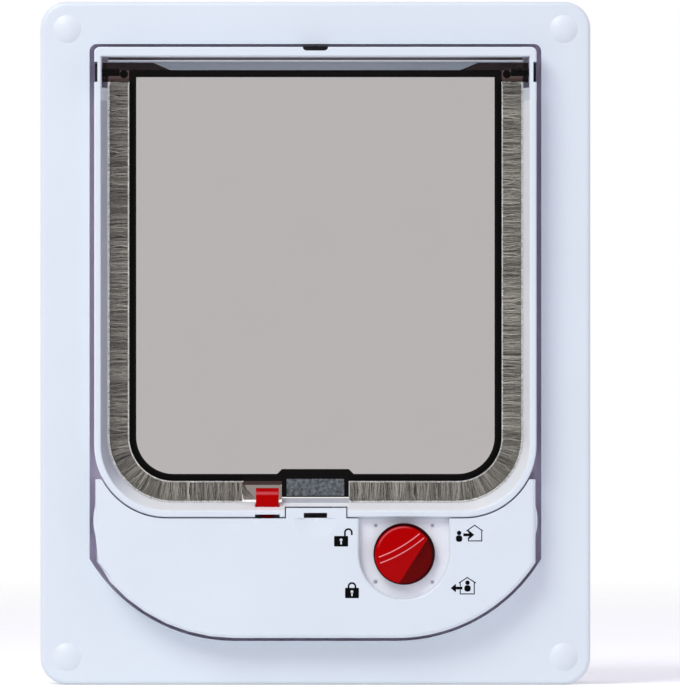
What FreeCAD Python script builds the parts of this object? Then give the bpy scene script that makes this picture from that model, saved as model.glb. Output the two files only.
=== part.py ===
import FreeCAD, Part
import math
import os
from types import SimpleNamespace

import Sketcher

# Cat flap for a door, in millimetres.
# X is to the right, Y goes into the door, Z is up.
# The origin is the centre of the four fixing screws, on the door side of the indoor plate.
# Depths are given as "front", the distance from that plane towards the room, which is minus Y.

VECTOR = FreeCAD.Vector
TOUCH = 1e-4
HALF_TURN = 180
doc = FreeCAD.newDocument("cat_flap")
sheet = doc.addObject("Spreadsheet::Sheet", "dims")

SIZES = {
    # flap
    "pane_width": 153.8,
    "pane_height": 170.3,
    "pane_depth": 2.4,
    "pane_corner": 16.0,
    "pane_top_corner": 1.4,
    "rim": 3.0,
    "rim_depth": 4.3,
    "rim_corner_extra": 3.0,
    "flap_front": 7.75,
    "groove_depth": 1.9,
    "groove_width": 1.4,
    "ear_reach": 11.5,
    "ear_drop": 5.1,
    "ear_rise": 3.2,
    "ear_inner": 62.2,
    "ear_slope": 7.5,
    "pivot_drop": 1.0,
    "boss_radius": 1.7,
    "boss_height": 0.5,
    "boss_inset": 9.2,
    "boss_rise": 3.4,
    "pin_radius": 1.6,
    "pin_play": 0.05,
    "pin_grip": 7.4,
    "strike_left": 31.0,
    "strike_drop": 1.7,
    "holder_width": 28.8,
    "holder_rise": 1.9,
    "holder_drop": 6.9,
    "holder_depth": 5.1,
    "holder_chamfer": 1.9,
    "magnet_width": 24.7,
    "magnet_height": 7.3,
    "magnet_depth": 4.2,
    "magnet_foot": 0.5,
    "keeper_gap": 0.5,
    "keeper_height": 2.5,
    "keeper_depth": 6.0,
    # brush
    "brush_reach": 8.5,
    "brush_gap": 0.9,
    "brush_root": 0.5,
    "brush_root_depth": 1.2,
    "brush_depth": 4.4,
    "brush_pitch": 2.6,
    "brush_ragged": 0.45,
    "brush_ear_gap": 0.9,
    "brush_left_end": 31.3,
    "brush_right_end": 14.6,
    "spine_play": 0.05,
    # inner frame
    "lip_side": 2.8,
    "lip_top": 4.1,
    "lip_sill": 2.8,
    "lip_edge": 0.8,
    "draft_side": 2.6,
    "draft_sill": 3.2,
    "draft_depth": 11.0,
    "head_gap": 5.6,
    "frame_front": 22.0,
    "frame_top_corner": 2.4,
    "frame_corner": 31.0,
    "pocket_reach": 2.9,
    "pocket_drop": 2.6,
    "pin_slot_width": 1.4,
    "pin_slot_height": 8.7,
    "pin_head_radius": 3.9,
    "pin_head_gap": 0.1,
    "release_top": 11.3,
    "release_bottom": 7.9,
    "release_depth": 1.6,
    "release_length": 10.0,
    "lug_width": 8.0,
    "lug_drop": 6.0,
    "lug_rise": 9.0,
    "lug_depth": 3.0,
    "lug_left": 70.0,
    "lug_right": 80.0,
    # indoor plate
    "margin_side": 21.1,
    "margin_top": 18.2,
    "margin_bottom": 18.7,
    "plate_corner": 11.5,
    "plate_depth": 11.0,
    "plate_wall": 2.2,
    "plate_edge": 2.0,
    "recess_gap_side": 2.2,
    "recess_gap_top": 1.5,
    "recess_corner": 3.3,
    "recess_arc": 72.5,
    "recess_arc_reach": 62.2,
    "recess_floor": 2.4,
    "recess_wall": 2.0,
    "tunnel_length": 24.0,
    "tunnel_wall": 2.0,
    "tunnel_head": 4.5,
    "tunnel_play": 0.4,
    # outdoor frame
    "door": 44.0,
    "outdoor_depth": 9.0,
    "outdoor_tunnel_length": 30.0,
    "outdoor_tunnel_wall": 1.8,
    "collar_width": 5.0,
    "collar_height": 2.5,
    "hood_gap": 1.3,
    # fixings
    "screw_inset_x": 11.5,
    "screw_inset_z": 11.8,
    "screw_radius": 2.0,
    "screw_hole_play": 0.25,
    "screw_head_radius": 4.0,
    "screw_head_height": 2.6,
    "screw_seat": 4.0,
    "screw_bite": 5.5,
    "pilot_play": 0.05,
    "boss_wall": 2.4,
    "cap_bore_gap": 0.8,
    "cap_radius": 6.0,
    "cap_height": 1.7,
    "cap_play": 0.15,
    "cap_plug": 3.0,
    # cover
    "cover_height": 51.2,
    "cover_front": 22.5,
    "cover_wall": 2.0,
    "cover_edge": 1.8,
    "cover_seam": 0.5,
    "cover_side_gap": 2.7,
    "cover_gap": 1.5,
    "cover_back_gap": 0.4,
    "cover_shoulder": 16.2,
    "grip_rise": 5.1,
    "grip_length": 12.9,
    "grip_bulge": 0.9,
    "tab_left": 12.6,
    "tab_right": 13.2,
    "tab_rise": 4.5,
    "slot_width": 10.0,
    "slot_height": 2.2,
    "slot_drop": 2.4,
    "scoop_radius": 9.0,
    "scoop_depth": 0.9,
    # lock knob
    "knob_x": 38.0,
    "knob_drop": 15.7,
    "knob_radius": 13.2,
    "knob_height": 6.4,
    "knob_dome": 1.6,
    "knob_play": 0.3,
    "knob_socket": 3.0,
    "socket_play": 0.02,
    "knob_over": 2.6,
    "ridge_width": 2.6,
    "ridge_radius": 60.0,
    "ridge_offset": 2.1,
    "ridge_tilt": 30.0,
    "ridge_turn": 40.0,
    "crest_fall": 1.3,
    "grip_fall": 3.4,
    "facet_tilt": 28.0,
    "facet_offset": 5.0,
    "facet_fall": 3.0,
    "well_radius": 19.2,
    "well_depth": 4.0,
    "well_floor": 2.2,
    "well_gap": 0.2,
    "well_lap": 1.2,
    "well_rim": 1.6,
    "notch_edge": 1.2,
    "dimple_spread": 24.2,
    "dimple_radius": 1.2,
    "dimple_depth": 0.5,
    "shaft_radius": 3.0,
    "shaft_play": 0.08,
    "bearing_wall": 2.0,
    "bearing_length": 8.0,
    "arm_length": 32.0,
    "arm_width": 8.0,
    "arm_depth": 1.5,
    "arm_back_gap": 0.5,
    "arm_slot_play": 0.5,
    "arm_slot_side": 2.0,
    "tail_radius": 1.5,
    "tail_length": 2.0,
    # entry latch and its coil
    "latch_x": -20.6,
    "latch_width": 9.8,
    "latch_depth": 5.7,
    "latch_gap": 0.8,
    "latch_below": 1.3,
    "latch_height": 9.0,
    "latch_round": 3.6,
    "latch_play": 0.4,
    "latch_window": 1.2,
    "stem_width": 5.2,
    "stem_depth": 4.6,
    "stem_length": 16.3,
    "stem_collar_radius": 5.0,
    "stem_collar_height": 1.5,
    "collar_gap": 0.1,
    "plunger_radius": 2.5,
    "plunger_length": 28.0,
    "bobbin_bore_play": 0.1,
    "bobbin_wall": 0.9,
    "bobbin_radius": 6.5,
    "bobbin_flange": 1.0,
    "bobbin_length": 16.0,
    "coil_radius": 6.1,
    "coil_gap": 0.1,
    "yoke_wall": 1.4,
    "yoke_width": 14.0,
    "yoke_gap": 0.5,
    "yoke_play": 0.3,
    "spring_radius": 4.3,
    "spring_wire": 0.35,
    "spring_turns": 4.5,
    "spring_seat": 0.3,
    # battery and board
    "battery_right": 31.5,
    "battery_top": 6.5,
    "battery_length": 45.5,
    "battery_height": 26.5,
    "battery_depth": 17.2,
    "battery_corner": 2.0,
    "battery_floor": 0.5,
    "stud_length": 3.0,
    "stud_small": 2.9,
    "stud_large": 3.7,
    "stud_spread": 12.7,
    "clip_length": 3.0,
    "clip_height": 18.0,
    "clip_depth": 9.0,
    "strip_width": 2.4,
    "strip_depth": 0.4,
    "strip_pitch": 4.0,
    "strip_inset": 0.7,
    "rib": 1.3,
    "rib_height": 9.0,
    "rib_gap": 0.3,
    "cradle_inset": 9.0,
    "board_left": 10.5,
    "board_width": 15.0,
    "board_foot": 3.7,
    "board_drop": 6.0,
    "board_depth": 1.6,
    "board_post": 3.2,
    "board_post_radius": 2.2,
    "board_inset": 3.0,
    "chip_width": 7.0,
    "chip_height": 9.0,
    "chip_depth": 1.8,
    "capacitor_radius": 3.2,
    "capacitor_length": 9.0,
    "capacitor_edge": 1.6,
    "reed_radius": 1.2,
    "reed_length": 12.0,
    "small_screw_radius": 1.2,
    "small_screw_head": 2.3,
    "small_screw_head_height": 1.4,
    "small_screw_length": 4.2,
    "small_screw_play": 0.15,
}


class Size:
    """A length with its value and the expression that ties it to the sheet."""

    def __init__(self, value, text=None):
        self.value = float(value)
        self.text = text if text is not None else f"({float(value)!r})"

    def join(self, other, sign, value):
        return Size(value, f"({self.text} {sign} {as_size(other).text})")

    def __add__(self, other):
        return self.join(other, "+", self.value + as_size(other).value)

    def __sub__(self, other):
        return self.join(other, "-", self.value - as_size(other).value)

    def __mul__(self, other):
        return self.join(other, "*", self.value * as_size(other).value)

    def __truediv__(self, other):
        return self.join(other, "/", self.value / as_size(other).value)

    def __radd__(self, other):
        return as_size(other) + self

    def __rsub__(self, other):
        return as_size(other) - self

    def __rmul__(self, other):
        return as_size(other) * self

    def __neg__(self):
        return Size(-self.value, f"(-1 * {self.text})")


def as_size(number):
    return number if isinstance(number, Size) else Size(number)


def root(size):
    return Size(math.sqrt(size.value), f"sqrt({size.text})")


def fill_sheet(sizes):
    """Write each size to a row of the sheet and return them all by name."""
    named = {}
    for row, (alias, number) in enumerate(sizes.items(), start=1):
        sheet.set(f"A{row}", alias.replace("_", " "))
        sheet.set(f"B{row}", str(number))
        sheet.setAlias(f"B{row}", alias)
        named[alias] = Size(number, f"dims.{alias}")
    return SimpleNamespace(**named)


d = fill_sheet(SIZES)
doc.recompute()
ZERO = Size(0)


# Sketches and features

def plane_of(body, role):
    return next(item for item in body.Origin.OriginFeatures if item.Role == role)


def place_sketch(body, name, plane, offset):
    """Add a sketch on one of the body's own planes, moved along the plane's normal."""
    sketch = body.newObject("Sketcher::SketchObject", name)
    sketch.AttachmentSupport = [(plane_of(body, plane), "")]
    sketch.MapMode = "FlatFace"
    sketch.setExpression("AttachmentOffset.Base.z", as_size(offset).text)
    return sketch


def arc_through(start, end, radius, turn):
    """Make the short arc from start to end; turn is 1 to the left and -1 to the right."""
    middle = (start + end) * 0.5
    chord = end - start
    height = math.sqrt(max(radius ** 2 - (chord.Length / 2) ** 2, 0.0))
    side = VECTOR(-chord.y, chord.x, 0).normalize() * turn
    centre = middle + side * height
    first, last = (start, end) if turn > 0 else (end, start)
    angles = [math.atan2(p.y - centre.y, p.x - centre.x) for p in (first, last)]
    return Part.ArcOfCircle(Part.Circle(centre, VECTOR(0, 0, 1), radius), *angles)


def draw_loop(sketch, corners):
    """Draw a closed run of lines and arcs and hold each corner by the sheet.

    A corner is (x, y) where a line leaves it, or (x, y, radius, turn) where an arc does.
    """
    base = sketch.GeometryCount
    points = [VECTOR(as_size(c[0]).value, as_size(c[1]).value, 0) for c in corners]
    shapes = []
    ends = []
    for index, corner in enumerate(corners):
        start = points[index]
        end = points[(index + 1) % len(points)]
        if len(corner) == 2:
            shapes.append(Part.LineSegment(start, end))
            ends.append((1, 2))
        else:
            shapes.append(arc_through(start, end, as_size(corner[2]).value, corner[3]))
            ends.append((1, 2) if corner[3] > 0 else (2, 1))
    sketch.addGeometry(shapes, False)
    rules = []
    held = []
    for index, corner in enumerate(corners):
        after = (index + 1) % len(corners)
        rules.append(
            Sketcher.Constraint("Coincident", base + index, ends[index][1], base + after, ends[after][0])
        )
        for kind, size in (("DistanceX", corner[0]), ("DistanceY", corner[1])):
            held.append((len(rules), as_size(size)))
            rules.append(
                Sketcher.Constraint(kind, -1, 1, base + index, ends[index][0], as_size(size).value)
            )
        if len(corner) > 2:
            held.append((len(rules), as_size(corner[2])))
            rules.append(Sketcher.Constraint("Radius", base + index, as_size(corner[2]).value))
    bind(sketch, rules, held)


def draw_circle(sketch, x, y, radius):
    x, y, radius = as_size(x), as_size(y), as_size(radius)
    index = sketch.GeometryCount
    circle = Part.Circle(VECTOR(x.value, y.value, 0), VECTOR(0, 0, 1), radius.value)
    sketch.addGeometry([circle], False)
    rules = [
        Sketcher.Constraint("DistanceX", -1, 1, index, 3, x.value),
        Sketcher.Constraint("DistanceY", -1, 1, index, 3, y.value),
        Sketcher.Constraint("Radius", index, radius.value),
    ]
    bind(sketch, rules, [(0, x), (1, y), (2, radius)])


def bind(sketch, rules, held):
    """Add the constraints and tie the sizes among them to the sheet."""
    first = sketch.ConstraintCount
    sketch.addConstraint(rules)
    for index, size in held:
        sketch.setExpression(f"Constraints[{first + index}]", size.text)


def box_loop(x0, x1, y0, y1, low=None, high=None):
    """Return the corners of a box, with radius low at its lower two and high at its upper two."""
    if low:
        foot = [(x0 + low, y0), (x1 - low, y0, low, 1), (x1, y0 + low)]
        close = [(x0, y0 + low, low, 1)]
    else:
        foot = [(x0, y0), (x1, y0)]
        close = []
    if high:
        head = [(x1, y1 - high, high, 1), (x1 - high, y1), (x0 + high, y1, high, 1), (x0, y1 - high)]
    else:
        head = [(x1, y1), (x0, y1)]
    return foot + head + close


def make_body(label):
    body = doc.addObject("PartDesign::Body", label)
    body.Label = label
    return body


def draw_all(body, name, plane, offset, loops):
    sketch = place_sketch(body, name, plane, offset)
    for loop in loops:
        if isinstance(loop, tuple):
            draw_circle(sketch, *loop)
        else:
            draw_loop(sketch, loop)
    return sketch


def pad(body, name, loops, start, length, plane="XZ_Plane"):
    """Raise the loops by length, from start along the plane's normal."""
    sketch = draw_all(body, name + "_sketch", plane, start, loops)
    feature = body.newObject("PartDesign::Pad", name)
    feature.Profile = sketch
    feature.setExpression("Length", as_size(length).text)
    sketch.Visibility = False
    doc.recompute()
    return feature


def pocket(body, name, loops, start, length, plane="XZ_Plane"):
    """Cut the loops out of the body, from start up to start + length along the normal."""
    sketch = draw_all(body, name + "_sketch", plane, as_size(start) + length, loops)
    before = body.Shape.Volume
    feature = body.newObject("PartDesign::Pocket", name)
    feature.Profile = sketch
    feature.setExpression("Length", as_size(length).text)
    sketch.Visibility = False
    doc.recompute()
    if body.Shape.Volume > before - TOUCH:
        raise RuntimeError(f"{name} cuts nothing")
    return feature


def pick_edges(shape, test):
    return [f"Edge{i}" for i, edge in enumerate(shape.Edges, start=1) if test(edge.BoundBox)]


def dress(body, kind, name, size, test):
    """Fillet or chamfer the edges whose box passes the test."""
    base = body.Tip
    feature = body.newObject(f"PartDesign::{kind}", name)
    feature.Base = (base, pick_edges(base.Shape, test))
    feature.setExpression("Radius" if kind == "Fillet" else "Size", as_size(size).text)
    doc.recompute()
    if "Invalid" in feature.State:
        raise RuntimeError(f"{name} failed")
    return feature


def flat_at(front):
    """Return a test for edges that lie in the plane at this front distance."""
    level = -as_size(front).value
    return lambda box: abs(box.YMin - level) < TOUCH and abs(box.YMax - level) < TOUCH


def place(item, x, y, z, axis=None, angle=0):
    if axis is not None:
        item.Placement = FreeCAD.Placement(VECTOR(), FreeCAD.Rotation(axis, angle))
    for letter, size in zip("xyz", (x, y, z)):
        item.setExpression(f"Placement.Base.{letter}", as_size(size).text)


def block(label, x0, x1, front0, front1, z0, z1):
    """Make a box between two places on each axis."""
    item = doc.addObject("Part::Box", label)
    item.Label = label
    item.setExpression("Length", (as_size(x1) - x0).text)
    item.setExpression("Width", (as_size(front1) - front0).text)
    item.setExpression("Height", (as_size(z1) - z0).text)
    place(item, x0, -as_size(front1), z0)
    return item


AXES = {"x": (VECTOR(0, 1, 0), 90), "y": (VECTOR(1, 0, 0), -90), "z": (None, 0)}


def rod(label, radius, length, x, y, z, axis="z"):
    """Make a cylinder that starts at x, y, z and runs along the axis."""
    item = doc.addObject("Part::Cylinder", label)
    item.Label = label
    item.setExpression("Radius", as_size(radius).text)
    item.setExpression("Height", as_size(length).text)
    place(item, x, y, z, *AXES[axis])
    return item


def join(label, pieces):
    item = doc.addObject("Part::MultiFuse", label)
    item.Label = label
    item.Shapes = pieces
    item.Refine = True
    return item


# Places that several pieces share

rim_half = d.pane_width / 2 + d.rim
brush_half = rim_half + d.brush_reach
bore_half = brush_half + d.brush_gap
lip_half = bore_half + d.draft_side
frame_half = lip_half + d.lip_side
recess_half = frame_half + d.recess_gap_side
plate_half = recess_half + d.margin_side

above_pane = d.rim + d.head_gap + d.lip_top + d.recess_gap_top + d.margin_top
below_frame = d.cover_seam + d.cover_height + d.cover_gap + d.margin_bottom
below_pane = d.rim + d.brush_reach + d.brush_gap + d.draft_sill + d.lip_sill + below_frame
plate_top = (d.pane_height + above_pane + below_pane) / 2

recess_top = plate_top - d.margin_top
frame_top = recess_top - d.recess_gap_top
lip_top = frame_top - d.lip_top
rim_top = lip_top - d.head_gap
pane_top = rim_top - d.rim
pane_bottom = pane_top - d.pane_height
rim_bottom = pane_bottom - d.rim
brush_bottom = rim_bottom - d.brush_reach
sill = brush_bottom - d.brush_gap
lip_bottom = sill - d.draft_sill
frame_bottom = lip_bottom - d.lip_sill
cover_top = frame_bottom - d.cover_seam
cover_bottom = cover_top - d.cover_height
recess_bottom = cover_bottom - d.cover_gap

rim_corner = d.pane_corner + d.rim_corner_extra
bore_corner = rim_corner + d.brush_reach + d.brush_gap
rim_back = d.flap_front - d.rim_depth / 2
rim_front = d.flap_front + d.rim_depth / 2
pane_back = d.flap_front - d.pane_depth / 2
pane_front = d.flap_front + d.pane_depth / 2
ear_half = rim_half + d.ear_reach
ear_top = rim_top + d.ear_rise
ear_bottom = rim_top - d.ear_drop
pivot = rim_top - d.pivot_drop
tunnel_top = rim_top + d.tunnel_head

screw_x = plate_half - d.screw_inset_x
screw_z = plate_top - d.screw_inset_z
screw_hole = d.screw_radius + d.screw_hole_play
cap_bore = d.screw_head_radius + d.cap_bore_gap
knob_z = frame_bottom - d.knob_drop
well_front = d.cover_front - d.well_depth
arc_x = recess_half - d.recess_arc_reach
arc_z = recess_bottom + d.recess_arc
floor_mid = d.recess_floor / 2
wall_mid = d.plate_wall / 2
holder_bottom = rim_bottom - d.holder_drop
magnet_back = d.flap_front + d.holder_depth / 2 - d.magnet_depth
keeper_top = holder_bottom - d.keeper_gap
keeper_bottom = keeper_top - d.keeper_height
arm_back = d.recess_floor + d.arm_back_gap
arm_front = arm_back + d.arm_depth
SIDES = (-1, 1)
CORNERS = ((-1, 1), (1, 1), (-1, -1), (1, -1))
RIB_SHARES = (-0.5, 0.0, 0.5)


def on_circle(x, centre_x, centre_z, radius, side=-1):
    """Return the height of the circle at x, on its lower or upper side."""
    reach = root(radius * radius - (x - centre_x) * (x - centre_x))
    return centre_z + reach * side


def recess_loop(shrink):
    """Outline of the recess: straight sides that end on one wide arc."""
    side = recess_half - shrink
    radius = d.recess_arc - shrink
    corner = on_circle(side, arc_x, arc_z, radius)
    top = recess_top - shrink
    round_top = d.recess_corner
    return [
        (-side, corner, radius, 1),
        (-arc_x, recess_bottom + shrink),
        (arc_x, recess_bottom + shrink, radius, 1),
        (side, corner),
        (side, top - round_top, round_top, 1),
        (side - round_top, top),
        (-side + round_top, top, round_top, 1),
        (-side, top - round_top),
    ]


def tunnel_loop(grow):
    corner = bore_corner + grow
    return box_loop(-bore_half - grow, bore_half + grow, sill - grow, tunnel_top + grow, corner, None)


def screw_circles(radius):
    return [(screw_x * sx, screw_z * sz, radius) for sx, sz in CORNERS]


def plate_loop(shrink):
    corner = d.plate_corner - shrink
    half = plate_half - shrink
    top = plate_top - shrink
    return box_loop(-half, half, -top, top, corner, corner)


# Indoor plate: one moulding with a hollow rim, a deep recess and the inner tunnel

def make_interior_plate():
    body = make_body("interior_plate")
    pad(body, "plate", [plate_loop(ZERO)], ZERO, d.plate_depth)
    dress(body, "Fillet", "plate_edge_round", d.plate_edge, flat_at(d.plate_depth))
    pocket(body, "recess", [recess_loop(ZERO)], d.recess_floor, d.plate_depth - d.recess_floor)
    hollow = d.plate_depth - d.plate_wall
    ring = [plate_loop(d.plate_wall), recess_loop(-d.recess_wall)]
    sketch = draw_all(body, "rim_hollow_sketch", "XZ_Plane", ZERO, ring)
    cut_back(body, "rim_hollow", sketch, hollow)
    boss = cap_bore + d.boss_wall
    pad(body, "screw_bosses", screw_circles(boss), ZERO, hollow + wall_mid)
    pocket(body, "cap_bores", screw_circles(cap_bore), d.screw_seat, d.plate_depth - d.screw_seat)
    pocket(body, "screw_holes", screw_circles(screw_hole), ZERO, d.screw_seat)
    pad(body, "tunnel", [tunnel_loop(d.tunnel_wall), tunnel_loop(ZERO)], -d.tunnel_length,
        d.tunnel_length + floor_mid)
    pocket(body, "passage", [tunnel_loop(ZERO)], ZERO, d.recess_floor)
    ribs = [rib_loop(side, share) for side in SIDES for share in RIB_SHARES]
    pad(body, "side_ribs", ribs, ZERO, hollow + wall_mid)
    pad(body, "battery_cradle", cradle_loops(), floor_mid, d.rib_height)
    pad(body, "board_posts", [(x, z, d.board_post_radius) for x, z in board_screws()],
        floor_mid, d.board_post + floor_mid)
    pad(body, "yoke_seat", [yoke_seat_loop()], floor_mid, yoke_back - floor_mid)
    radius = d.small_screw_radius + d.pilot_play
    pilots = [(x, z, radius) for x, z in board_screws()]
    pocket(body, "post_pilots", pilots, floor_mid, d.board_post + floor_mid)
    pocket(body, "lug_pilots", [(x, z, radius) for x, z in lug_places()], floor_mid, floor_mid)
    pocket(body, "tail_bearing", [(d.knob_x, knob_z, d.tail_radius + d.shaft_play)], ZERO,
           d.recess_floor)
    return body


def cut_back(body, name, sketch, length):
    """Cut a sketch on the door side of a plate towards the room."""
    before = body.Shape.Volume
    feature = body.newObject("PartDesign::Pocket", name)
    feature.Profile = sketch
    feature.Reversed = True
    feature.setExpression("Length", length.text)
    doc.recompute()
    if body.Shape.Volume > before - TOUCH:
        raise RuntimeError(f"{name} cuts nothing")


def rib_loop(side, share):
    """Rib across the hollow rim at the left or right side."""
    inner = recess_half + d.recess_wall / 2
    outer = plate_half - wall_mid
    low, high = (inner, outer) if side > 0 else (-outer, -inner)
    level = plate_top * share
    return box_loop(low, high, level - d.rib / 2, level + d.rib / 2)


# Battery, board and coil places behind the cover

battery_x1 = -d.battery_right
battery_x0 = battery_x1 - d.battery_length
battery_z1 = frame_bottom - d.battery_top
battery_z0 = battery_z1 - d.battery_height
battery_back = d.recess_floor + d.battery_floor
stud_x = battery_x0 - d.stud_length
board_x0 = -d.board_left
board_x1 = board_x0 + d.board_width
board_z1 = frame_bottom - d.board_drop
board_z0 = cover_bottom + d.cover_wall + d.board_foot
board_back = d.recess_floor + d.board_post
board_front = board_back + d.board_depth
latch_back = rim_front + d.latch_gap
latch_front = latch_back + d.latch_depth
latch_mid = (latch_back + latch_front) / 2
strike_bottom = rim_bottom - d.strike_drop
latch_top = strike_bottom - d.latch_below
head_bottom = latch_top - d.latch_height
collar_z1 = head_bottom - d.stem_length
collar_z0 = collar_z1 - d.stem_collar_height
yoke_z1 = collar_z0 - d.collar_gap
bobbin_z1 = yoke_z1 - d.yoke_wall
bobbin_z0 = bobbin_z1 - d.bobbin_length
yoke_z0 = bobbin_z0 - d.yoke_wall
yoke_back = latch_mid - d.bobbin_radius - d.yoke_gap - d.yoke_wall


def cradle_loops():
    """Two low walls that hold the battery, one under it and one at its inner end."""
    floor_z = battery_z0 - d.rib_gap
    end_x = battery_x1 + d.rib_gap
    inset = d.cradle_inset
    return [
        box_loop(battery_x0 + inset, battery_x1 - inset, floor_z - d.rib, floor_z),
        box_loop(end_x, end_x + d.rib, battery_z0 + inset, battery_z1 - inset),
    ]


def board_screws():
    return [(board_x0 + d.board_inset, board_z0 + d.board_inset),
            (board_x1 - d.board_inset, board_z1 - d.board_inset)]


def lug_places():
    level = frame_bottom - d.lug_drop / 2
    return [(-d.lug_left, level), (d.lug_right, level)]


def yoke_seat_loop():
    half = d.yoke_width / 2
    return box_loop(d.latch_x - half, d.latch_x + half, yoke_z0, yoke_z1)


# Inner frame: the moulding that carries the flap and the lock

def frame_loop():
    """Outline of the frame, with the step in its sill that the tab of the cover rises into."""
    step_top = frame_bottom + d.tab_rise
    right = [
        (d.tab_right + d.cover_seam, frame_bottom),
        (frame_half - d.frame_corner, frame_bottom, d.frame_corner, 1),
        (frame_half, frame_bottom + d.frame_corner),
        (frame_half, frame_top - d.frame_top_corner, d.frame_top_corner, 1),
        (frame_half - d.frame_top_corner, frame_top),
    ]
    left = [
        (-frame_half + d.frame_top_corner, frame_top, d.frame_top_corner, 1),
        (-frame_half, frame_top - d.frame_top_corner),
        (-frame_half, frame_bottom + d.frame_corner, d.frame_corner, 1),
        (-frame_half + d.frame_corner, frame_bottom),
    ]
    step = [
        (-d.tab_left - d.cover_seam, frame_bottom),
        (-d.tab_left - d.cover_seam, step_top),
        (d.tab_right + d.cover_seam, step_top),
    ]
    return right + left + step


def bore_loop():
    corner = bore_corner
    return box_loop(-bore_half, bore_half, sill, lip_top, corner, None)


def make_inner_frame():
    body = make_body("inner_frame")
    depth = d.frame_front - d.recess_floor
    pad(body, "frame", [frame_loop()], d.recess_floor, depth)
    add_lugs(body)
    pocket(body, "bore", [bore_loop()], d.recess_floor, depth)
    cut_draft(body)
    pocket(body, "ear_pocket", [ear_pocket_loop()], d.recess_floor, depth - d.lip_edge * 2)
    pocket(body, "release", [release_loop()], d.frame_front - d.release_length, d.release_length)
    slot_back = d.flap_front - d.pin_slot_height / 2
    pocket(body, "pin_slots", [slot_loop(side) for side in SIDES], slot_back, d.frame_front - slot_back)
    dress(body, "Fillet", "lip_round", d.lip_edge, outer_lip_edge)
    add_well(body)
    pocket(body, "latch_slot", [latch_loop(d.latch_play)], latch_back - d.latch_play,
           d.latch_depth + 2 * d.latch_play)
    pocket(body, "latch_window", [latch_window_loop()], latch_front, d.frame_front - latch_front)
    pocket(body, "keeper_seat", [keeper_loop()], d.flap_front - d.keeper_depth / 2, d.keeper_depth)
    pocket(body, "arm_slot", [arm_slot_loop()], d.recess_floor, arm_front - d.recess_floor + d.arm_slot_play)
    bore = d.pin_radius + d.pin_play
    sketch = draw_all(body, "pin_bores_sketch", "YZ_Plane", -frame_half, [(-d.flap_front, pivot, bore)])
    feature = body.newObject("PartDesign::Pocket", "pin_bores")
    feature.Profile = sketch
    feature.Reversed = True
    feature.setExpression("Length", (frame_half * 2).text)
    doc.recompute()
    return body


def outer_lip_edge(box):
    """The front edges of the lip that are longer than those of its notches."""
    return flat_at(d.frame_front)(box) and max(box.XLength, box.ZLength) > d.release_top.value


def cut_draft(body):
    """Open the bore towards the room with sloping walls, as a loft between two outlines."""
    front_corner = d.frame_corner - d.lip_side
    back = draw_all(body, "draft_back", "XZ_Plane", d.frame_front - d.draft_depth, [bore_loop()])
    loop = box_loop(-lip_half, lip_half, lip_bottom, lip_top, front_corner, None)
    front = draw_all(body, "draft_front", "XZ_Plane", d.frame_front, [loop])
    before = body.Shape.Volume
    feature = body.newObject("PartDesign::SubtractiveLoft", "draft")
    feature.Profile = back
    feature.Sections = [front]
    feature.Ruled = True
    doc.recompute()
    if body.Shape.Volume > before - TOUCH:
        raise RuntimeError("draft cuts nothing")


def ear_pocket_loop():
    half = bore_half + d.pocket_reach
    return box_loop(-half, half, ear_bottom - d.pocket_drop, lip_top)


def slot_loop(side):
    inner, outer = frame_half - d.pin_slot_width, frame_half + d.lip_edge
    low, high = (inner, outer) if side > 0 else (-outer, -inner)
    return box_loop(low, high, pivot - d.pin_slot_height / 2, pivot + d.pin_slot_height / 2)


def release_loop():
    top = frame_top + d.lip_edge
    bottom = frame_top - d.release_depth
    return [(-d.release_bottom / 2, bottom), (d.release_bottom / 2, bottom),
            (d.release_top / 2, top), (-d.release_top / 2, top)]


def latch_loop(play):
    half = d.latch_width / 2 + play
    return box_loop(d.latch_x - half, d.latch_x + half, frame_bottom - d.lip_edge, sill + d.lip_edge)


def latch_window_loop():
    half = d.latch_width / 2 + d.latch_play
    return box_loop(d.latch_x - half, d.latch_x + half, frame_bottom - d.lip_edge,
                    frame_bottom + d.latch_window)


def keeper_loop():
    half = d.holder_width / 2
    return box_loop(-half, half, keeper_bottom, sill + d.keeper_height)


def arm_slot_loop():
    """Cut in the back of the sill and the well that the turning arms pass through."""
    half = d.arm_length + d.arm_slot_side
    return box_loop(d.knob_x - half, d.knob_x + half, knob_z, sill + d.lip_edge)


def well_loop(grow):
    """U-shaped outline round the knob, open to the sill."""
    radius = d.well_radius + grow
    return [
        (d.knob_x - radius, knob_z, radius, 1),
        (d.knob_x, knob_z - radius, radius, 1),
        (d.knob_x + radius, knob_z),
        (d.knob_x + radius, frame_bottom + d.lip_edge),
        (d.knob_x - radius, frame_bottom + d.lip_edge),
    ]


def add_well(body):
    """The floor that laps under the cover round the knob, its bearing and four marks."""
    pad(body, "well_floor", [well_loop(d.well_lap)], well_front - d.well_floor, d.well_floor)
    bearing = d.shaft_radius + d.shaft_play + d.bearing_wall
    pad(body, "bearing", [(d.knob_x, knob_z, bearing)],
        well_front - d.well_floor - d.bearing_length, d.bearing_length + d.well_floor / 2)
    pocket(body, "bearing_bore", [(d.knob_x, knob_z, d.shaft_radius + d.shaft_play)],
           well_front - d.well_floor - d.bearing_length, d.bearing_length + d.well_floor)
    spread = d.dimple_spread / 2
    marks = [(d.knob_x + spread * sx, knob_z + spread * sz, d.dimple_radius) for sx, sz in CORNERS]
    pocket(body, "marks", marks, well_front - d.dimple_depth, d.dimple_depth)


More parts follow.
